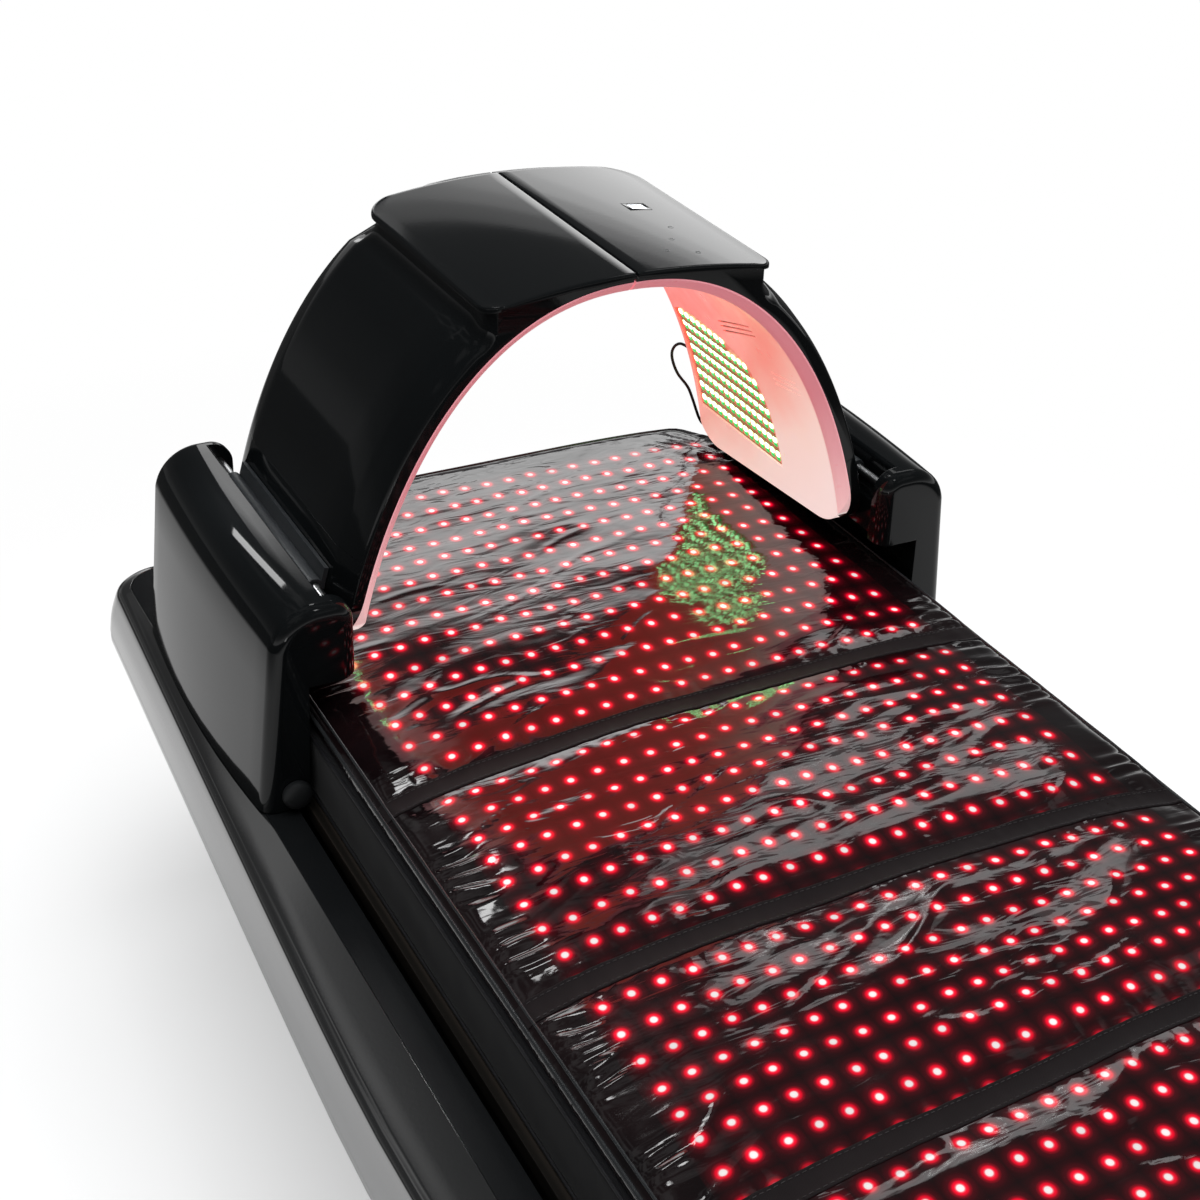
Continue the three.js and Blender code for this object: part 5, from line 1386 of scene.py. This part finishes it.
for index, (inset, drop, radius) in enumerate(((1.6, -1.2, 2.6), (8.5, 0.4, 1.7))):
    path = [(x, y, float(vinyl_top(x * (1 - 1e-6), y)) + drop) for x, y in
            perimeter(mat_half_w, mat_half_l, mat_corner, inset, 12)]
    bead = ring_tube("mat_edge_bead_%d" % (index + 1), path, radius, 10)
    dress(bead, rubber("bead_vinyl_%d" % (index + 1), (0.012, 0.013, 0.014), 0.22), "base")


# Mattress: a long foam block in a black cover, bulging a little between its top and bottom piping
mattress_w, mattress_l, mattress_low, mattress_corner = 397, 941, 435.3, 20
cover = [Field(k) for k in range(41, 45)]


def mattress_ring(y):
    away = mattress_l - abs(y)
    narrow = 8 * max(0, 1 - away / 28) ** 2
    half = pad_half_width(y, mattress_corner, mattress_w - narrow, mattress_l)
    crown = lambda x: mat_top - mat_thick - 0.3 - float(pad_fall(np.float64(x), np.float64(y)))
    side_top = crown(mat_half_w) - 1
    height = side_top - mattress_low
    side = []
    for share, draw in ((0, 6.8), (0.02, 4.2), (0.06, 2.4), (0.12, 1.8), (0.22, 2.4), (0.35, 2.6), (0.5, 2.2),
                        (0.65, 1.4), (0.8, 0.5), (0.9, 0.3), (0.96, 1.2), (1, 3.4)):
        level = mattress_low + height * share
        ripple = 1.1 * float(cover[0].at(y / 70, level / 40)) + 0.5 * float(cover[1].at(y / 24, level / 60))
        side.append((half - draw - max(0, 0.6 + ripple) * math.sin(math.pi * min(1, share)), level))
    inner = (0.985, 0.93, 0.8, 0.6, 0.35, 0)
    top = [(half * s, crown(half * s)) for s in inner]
    right_half = side + top
    left = [(-x, z) for x, z in reversed(right_half[:-1])]
    return [(x, y, z) for x, z in right_half + left]


mattress_piece = loft("mattress_cover", [mattress_ring(y) for y in stations(mattress_l, 11)], 50)
dress(mattress_piece, side_fabric, "base", "mattress")
for index, (level, inset) in enumerate(((mattress_low + 5, 1.4), (None, 1.2))):
    path = []
    for x, y in perimeter(mattress_w, mattress_l, mattress_corner, inset, 14):
        fall = float(pad_fall(np.float64(min(abs(x), mat_half_w)), np.float64(y)))
        path.append((x, y, level or mat_top - mat_thick - 4.6 - fall))
    piping = ring_tube("mattress_piping_%d" % (index + 1), path, 2.1, 8)
    dress(piping, rubber("piping_cord_%d" % (index + 1), (0.008, 0.008, 0.009), 0.4), "base")


# Stage and light
floor_mesh = bpy.data.meshes.new("floor")
floor_mesh.from_pydata([(-40, -40, -0.0005), (40, -40, -0.0005), (40, 40, -0.0005), (-40, 40, -0.0005)], [],
                       [(0, 1, 2, 3)])
floor = bpy.data.objects.new("floor", floor_mesh)
bpy.context.scene.collection.objects.link(floor)
floor_mat, floor_tree, floor_shader = tree_of("studio_floor")
set_in(floor_tree, floor_shader, Base_Color=(0.52, 0.522, 0.525, 1), Roughness=0.8)
floor_place = put(floor_tree, "SeparateXYZ", {0: put(floor_tree, "TexCoord").outputs["Object"]})
reach = put(floor_tree, "VectorMath", {0: put(floor_tree, "CombineXYZ", {
    0: floor_place.outputs[0], 1: maths(floor_tree, "MULTIPLY", floor_place.outputs[1], 0.75)}).outputs[0]},
    operation="LENGTH").outputs["Value"]
reach = maths(floor_tree, "MULTIPLY", reach, 0.25)
far_floor = ramp(floor_tree, reach, [(0.22, grey(0)), (0.5, grey(1))])
floor_path = put(floor_tree, "LightPath").outputs
reflected = maths(floor_tree, "MAXIMUM", floor_path["Is Glossy Ray"], floor_path["Is Transmission Ray"])
mirrored_floor = ramp(floor_tree, reach, [(0.22, grey(0)), (0.34, grey(1))])
mirrored_level = ramp(floor_tree, reach, [(0.30, grey(0.85)), (0.42, grey(0.7)), (0.62, grey(0.05))])
white_level = maths(floor_tree, "MAXIMUM", floor_path["Is Camera Ray"], mirrored_level)
white = put(floor_tree, "Emission", {"Color": (1, 1, 1, 1), "Strength": white_level})
lift_level = maths(floor_tree, "MULTIPLY", floor_path["Is Camera Ray"], 0.42)
lift = put(floor_tree, "Emission", {"Color": (1, 1, 1, 1), "Strength": lift_level})
near_floor = put(floor_tree, "AddShader", {0: floor_shader.outputs[0], 1: lift.outputs[0]})
seen = maths(floor_tree, "MAXIMUM", maths(floor_tree, "MULTIPLY", far_floor, floor_path["Is Camera Ray"]),
             maths(floor_tree, "MULTIPLY", mirrored_floor, reflected))
both = put(floor_tree, "MixShader", {0: seen, 1: near_floor.outputs[0], 2: white.outputs[0]})
floor_out = next(n for n in floor_tree.nodes if n.type == "OUTPUT_MATERIAL")
floor_tree.links.new(both.outputs[0], floor_out.inputs[0])
floor_mesh.materials.append(floor_mat)

world = bpy.data.worlds.new("studio")
bpy.context.scene.world = world
world.use_nodes = True
wt = world.node_tree
wt.nodes.clear()
coords = put(wt, "TexCoord").outputs["Generated"]
sky = put(wt, "SeparateXYZ", {0: coords}).outputs
height, heading = sky[2], maths(wt, "ARCTAN2", sky[1], sky[0])
haze = put(wt, "TexNoise", {"Vector": coords, "Scale": 3.2, "Detail": 2.0, "Distortion": 0.6}).outputs["Fac"]
low_dome = [(0.0, 1.0), (0.07, 0.85), (0.16, 0.3), (0.3, 0.1), (0.5, 0.075), (1.0, 0.05)]
dark_side = [(0.0, 0.17), (0.05, 0.15), (0.12, 0.09), (0.3, 0.05), (0.5, 0.05), (1.0, 0.05)]
turned = eased(wt, heading, 1.25, 1.75)
dome = put(wt, "MixRGB", {0: turned, 1: ramp(wt, height, [(p, grey(v)) for p, v in low_dome]),
                          2: ramp(wt, height, [(p, grey(v)) for p, v in dark_side])}).outputs[0]
cloudy = ramp(wt, haze, [(0.45, grey(0.0)), (0.60, grey(0.24))])
high_up = eased(wt, height, 0.45, 0.6)
dome = maths(wt, "MAXIMUM", dome, maths(wt, "MULTIPLY", cloudy, high_up))
path = put(wt, "LightPath")
shown = put(wt, "MixRGB", {0: path.outputs["Is Camera Ray"], 1: dome, 2: (1, 1, 1, 1)}).outputs[0]
background = put(wt, "Background", {"Color": shown, "Strength": 1.0})
out = wt.nodes.new("ShaderNodeOutputWorld")
wt.links.new(background.outputs[0], out.inputs[0])


def area(name, place, target, size, power, glossy, colour=(1, 1, 1)):
    data = bpy.data.lights.new(name, "AREA")
    data.shape, data.size, data.size_y = "RECTANGLE", *size
    data.energy, data.color = power, colour
    lamp = bpy.data.objects.new(name, data)
    bpy.context.scene.collection.objects.link(lamp)
    lamp.location = place
    lamp.rotation_euler = (Vector(target) - Vector(place)).to_track_quat("-Z", "Y").to_euler()
    lamp.visible_glossy = glossy
    lamp.visible_camera = False
    return lamp


area("overhead", (0, 0, 5), (0, 0, 0), (6, 6), 420, False)


board_y = 2.0


def board(name, left, right, low, high, radiance):
    """Upright bright board behind the bed, facing it, seen only in reflections and as a little light."""
    size = (right - left, high - low)
    middle = Vector(((left + right) / 2, board_y, (low + high) / 2))
    area(name, middle, middle - Vector((0, 1, 0)), size, radiance * math.pi * size[0] * size[1], True)


for index, (low, high, radiance) in enumerate(((1.02, 1.39, 2.1), (1.39, 1.45, 1.8), (1.45, 1.50, 1.25),
                                               (1.50, 1.55, 0.85), (1.55, 1.61, 0.45))):
    board("board_low_%d" % (index + 1), -0.12, 1.33, low, high, radiance)
board("board_high", 0.94, 2.6, 2.17, 2.72, 1.3)
board("board_glare", 1.27, 1.66, 2.33, 2.40, 12)
board("board_pucker", -0.12, 0.18, 2.55, 2.95, 7)
streak = area("board_streak", (-0.416, 0.715, 0.76), (-0.416, 0.715, 0), (0.024, 0.16), 0.095, True)
streak.rotation_euler = (0, 0, 0.165)
area("front_glint", (-1.56, -1.75, 0.59), (-0.42, 0.47, 0.656), (0.22, 0.22), 0.9, True)
area("top_glint", (0.0, -0.257, 2.72), (-0.385, 0.478, 0.683), (0.25, 0.25), 1.6, True)

# Lead and its two glands
for name, centre, body in (
    ("arch_lead", (route[0][0], arch_far + 6.7, route[0][2]), "arch_right"),
    ("pedestal_lead", (lead_end_x, far_end + 7.7, route[-1][2]), "carriage_right"),
):
    dress(lathed_gland(name + "_bush", centre), black_rubber, body, name + "_gland")
dress(lead, lead_rubber, None, "arch_lead")
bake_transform(lead)

# Carried-over CAD nodes
finishes = {
    "end_deck": deck_black, "side_deck": deck_black,
    "mattress_platform": board_wood, "board_riser": board_wood,
    "frame_beam": dark_steel, "cross_member": dark_steel, "leg": dark_steel, "foot_pad": black_rubber,
    "guide_rail": bright_steel, "slide_block": bright_steel, "carriage_bracket": dark_steel,
    "hinge_pin": bright_steel, "hinge_arm": dark_steel, "catch_magnet": bright_steel,
    "power_supply": dark_steel, "mains_inlet": black_rubber, "mains_rocker": black_rubber,
}
for name, node in nodes.items():
    kind = next((k for k in finishes if name.startswith(k)), None)
    if kind is None:
        continue
    if node.material_slots:
        for slot in node.material_slots:
            slot.material = finishes[kind]
    else:
        node.data.materials.append(finishes[kind])
    node.data.polygons.foreach_set("use_smooth", [True] * len(node.data.polygons))
    weld = node.modifiers.new("weld", "WELD")
    weld.merge_threshold = 1e-5
    edges = node.modifiers.new("edges", "BEVEL")
    edges.width, edges.segments, edges.limit_method = 0.0008, 2, "ANGLE"
    edges.angle_limit = math.radians(38)
    node.modifiers.new("normals", "WEIGHTED_NORMAL")

scene = bpy.context.scene
scene.view_settings.view_transform = "Standard"
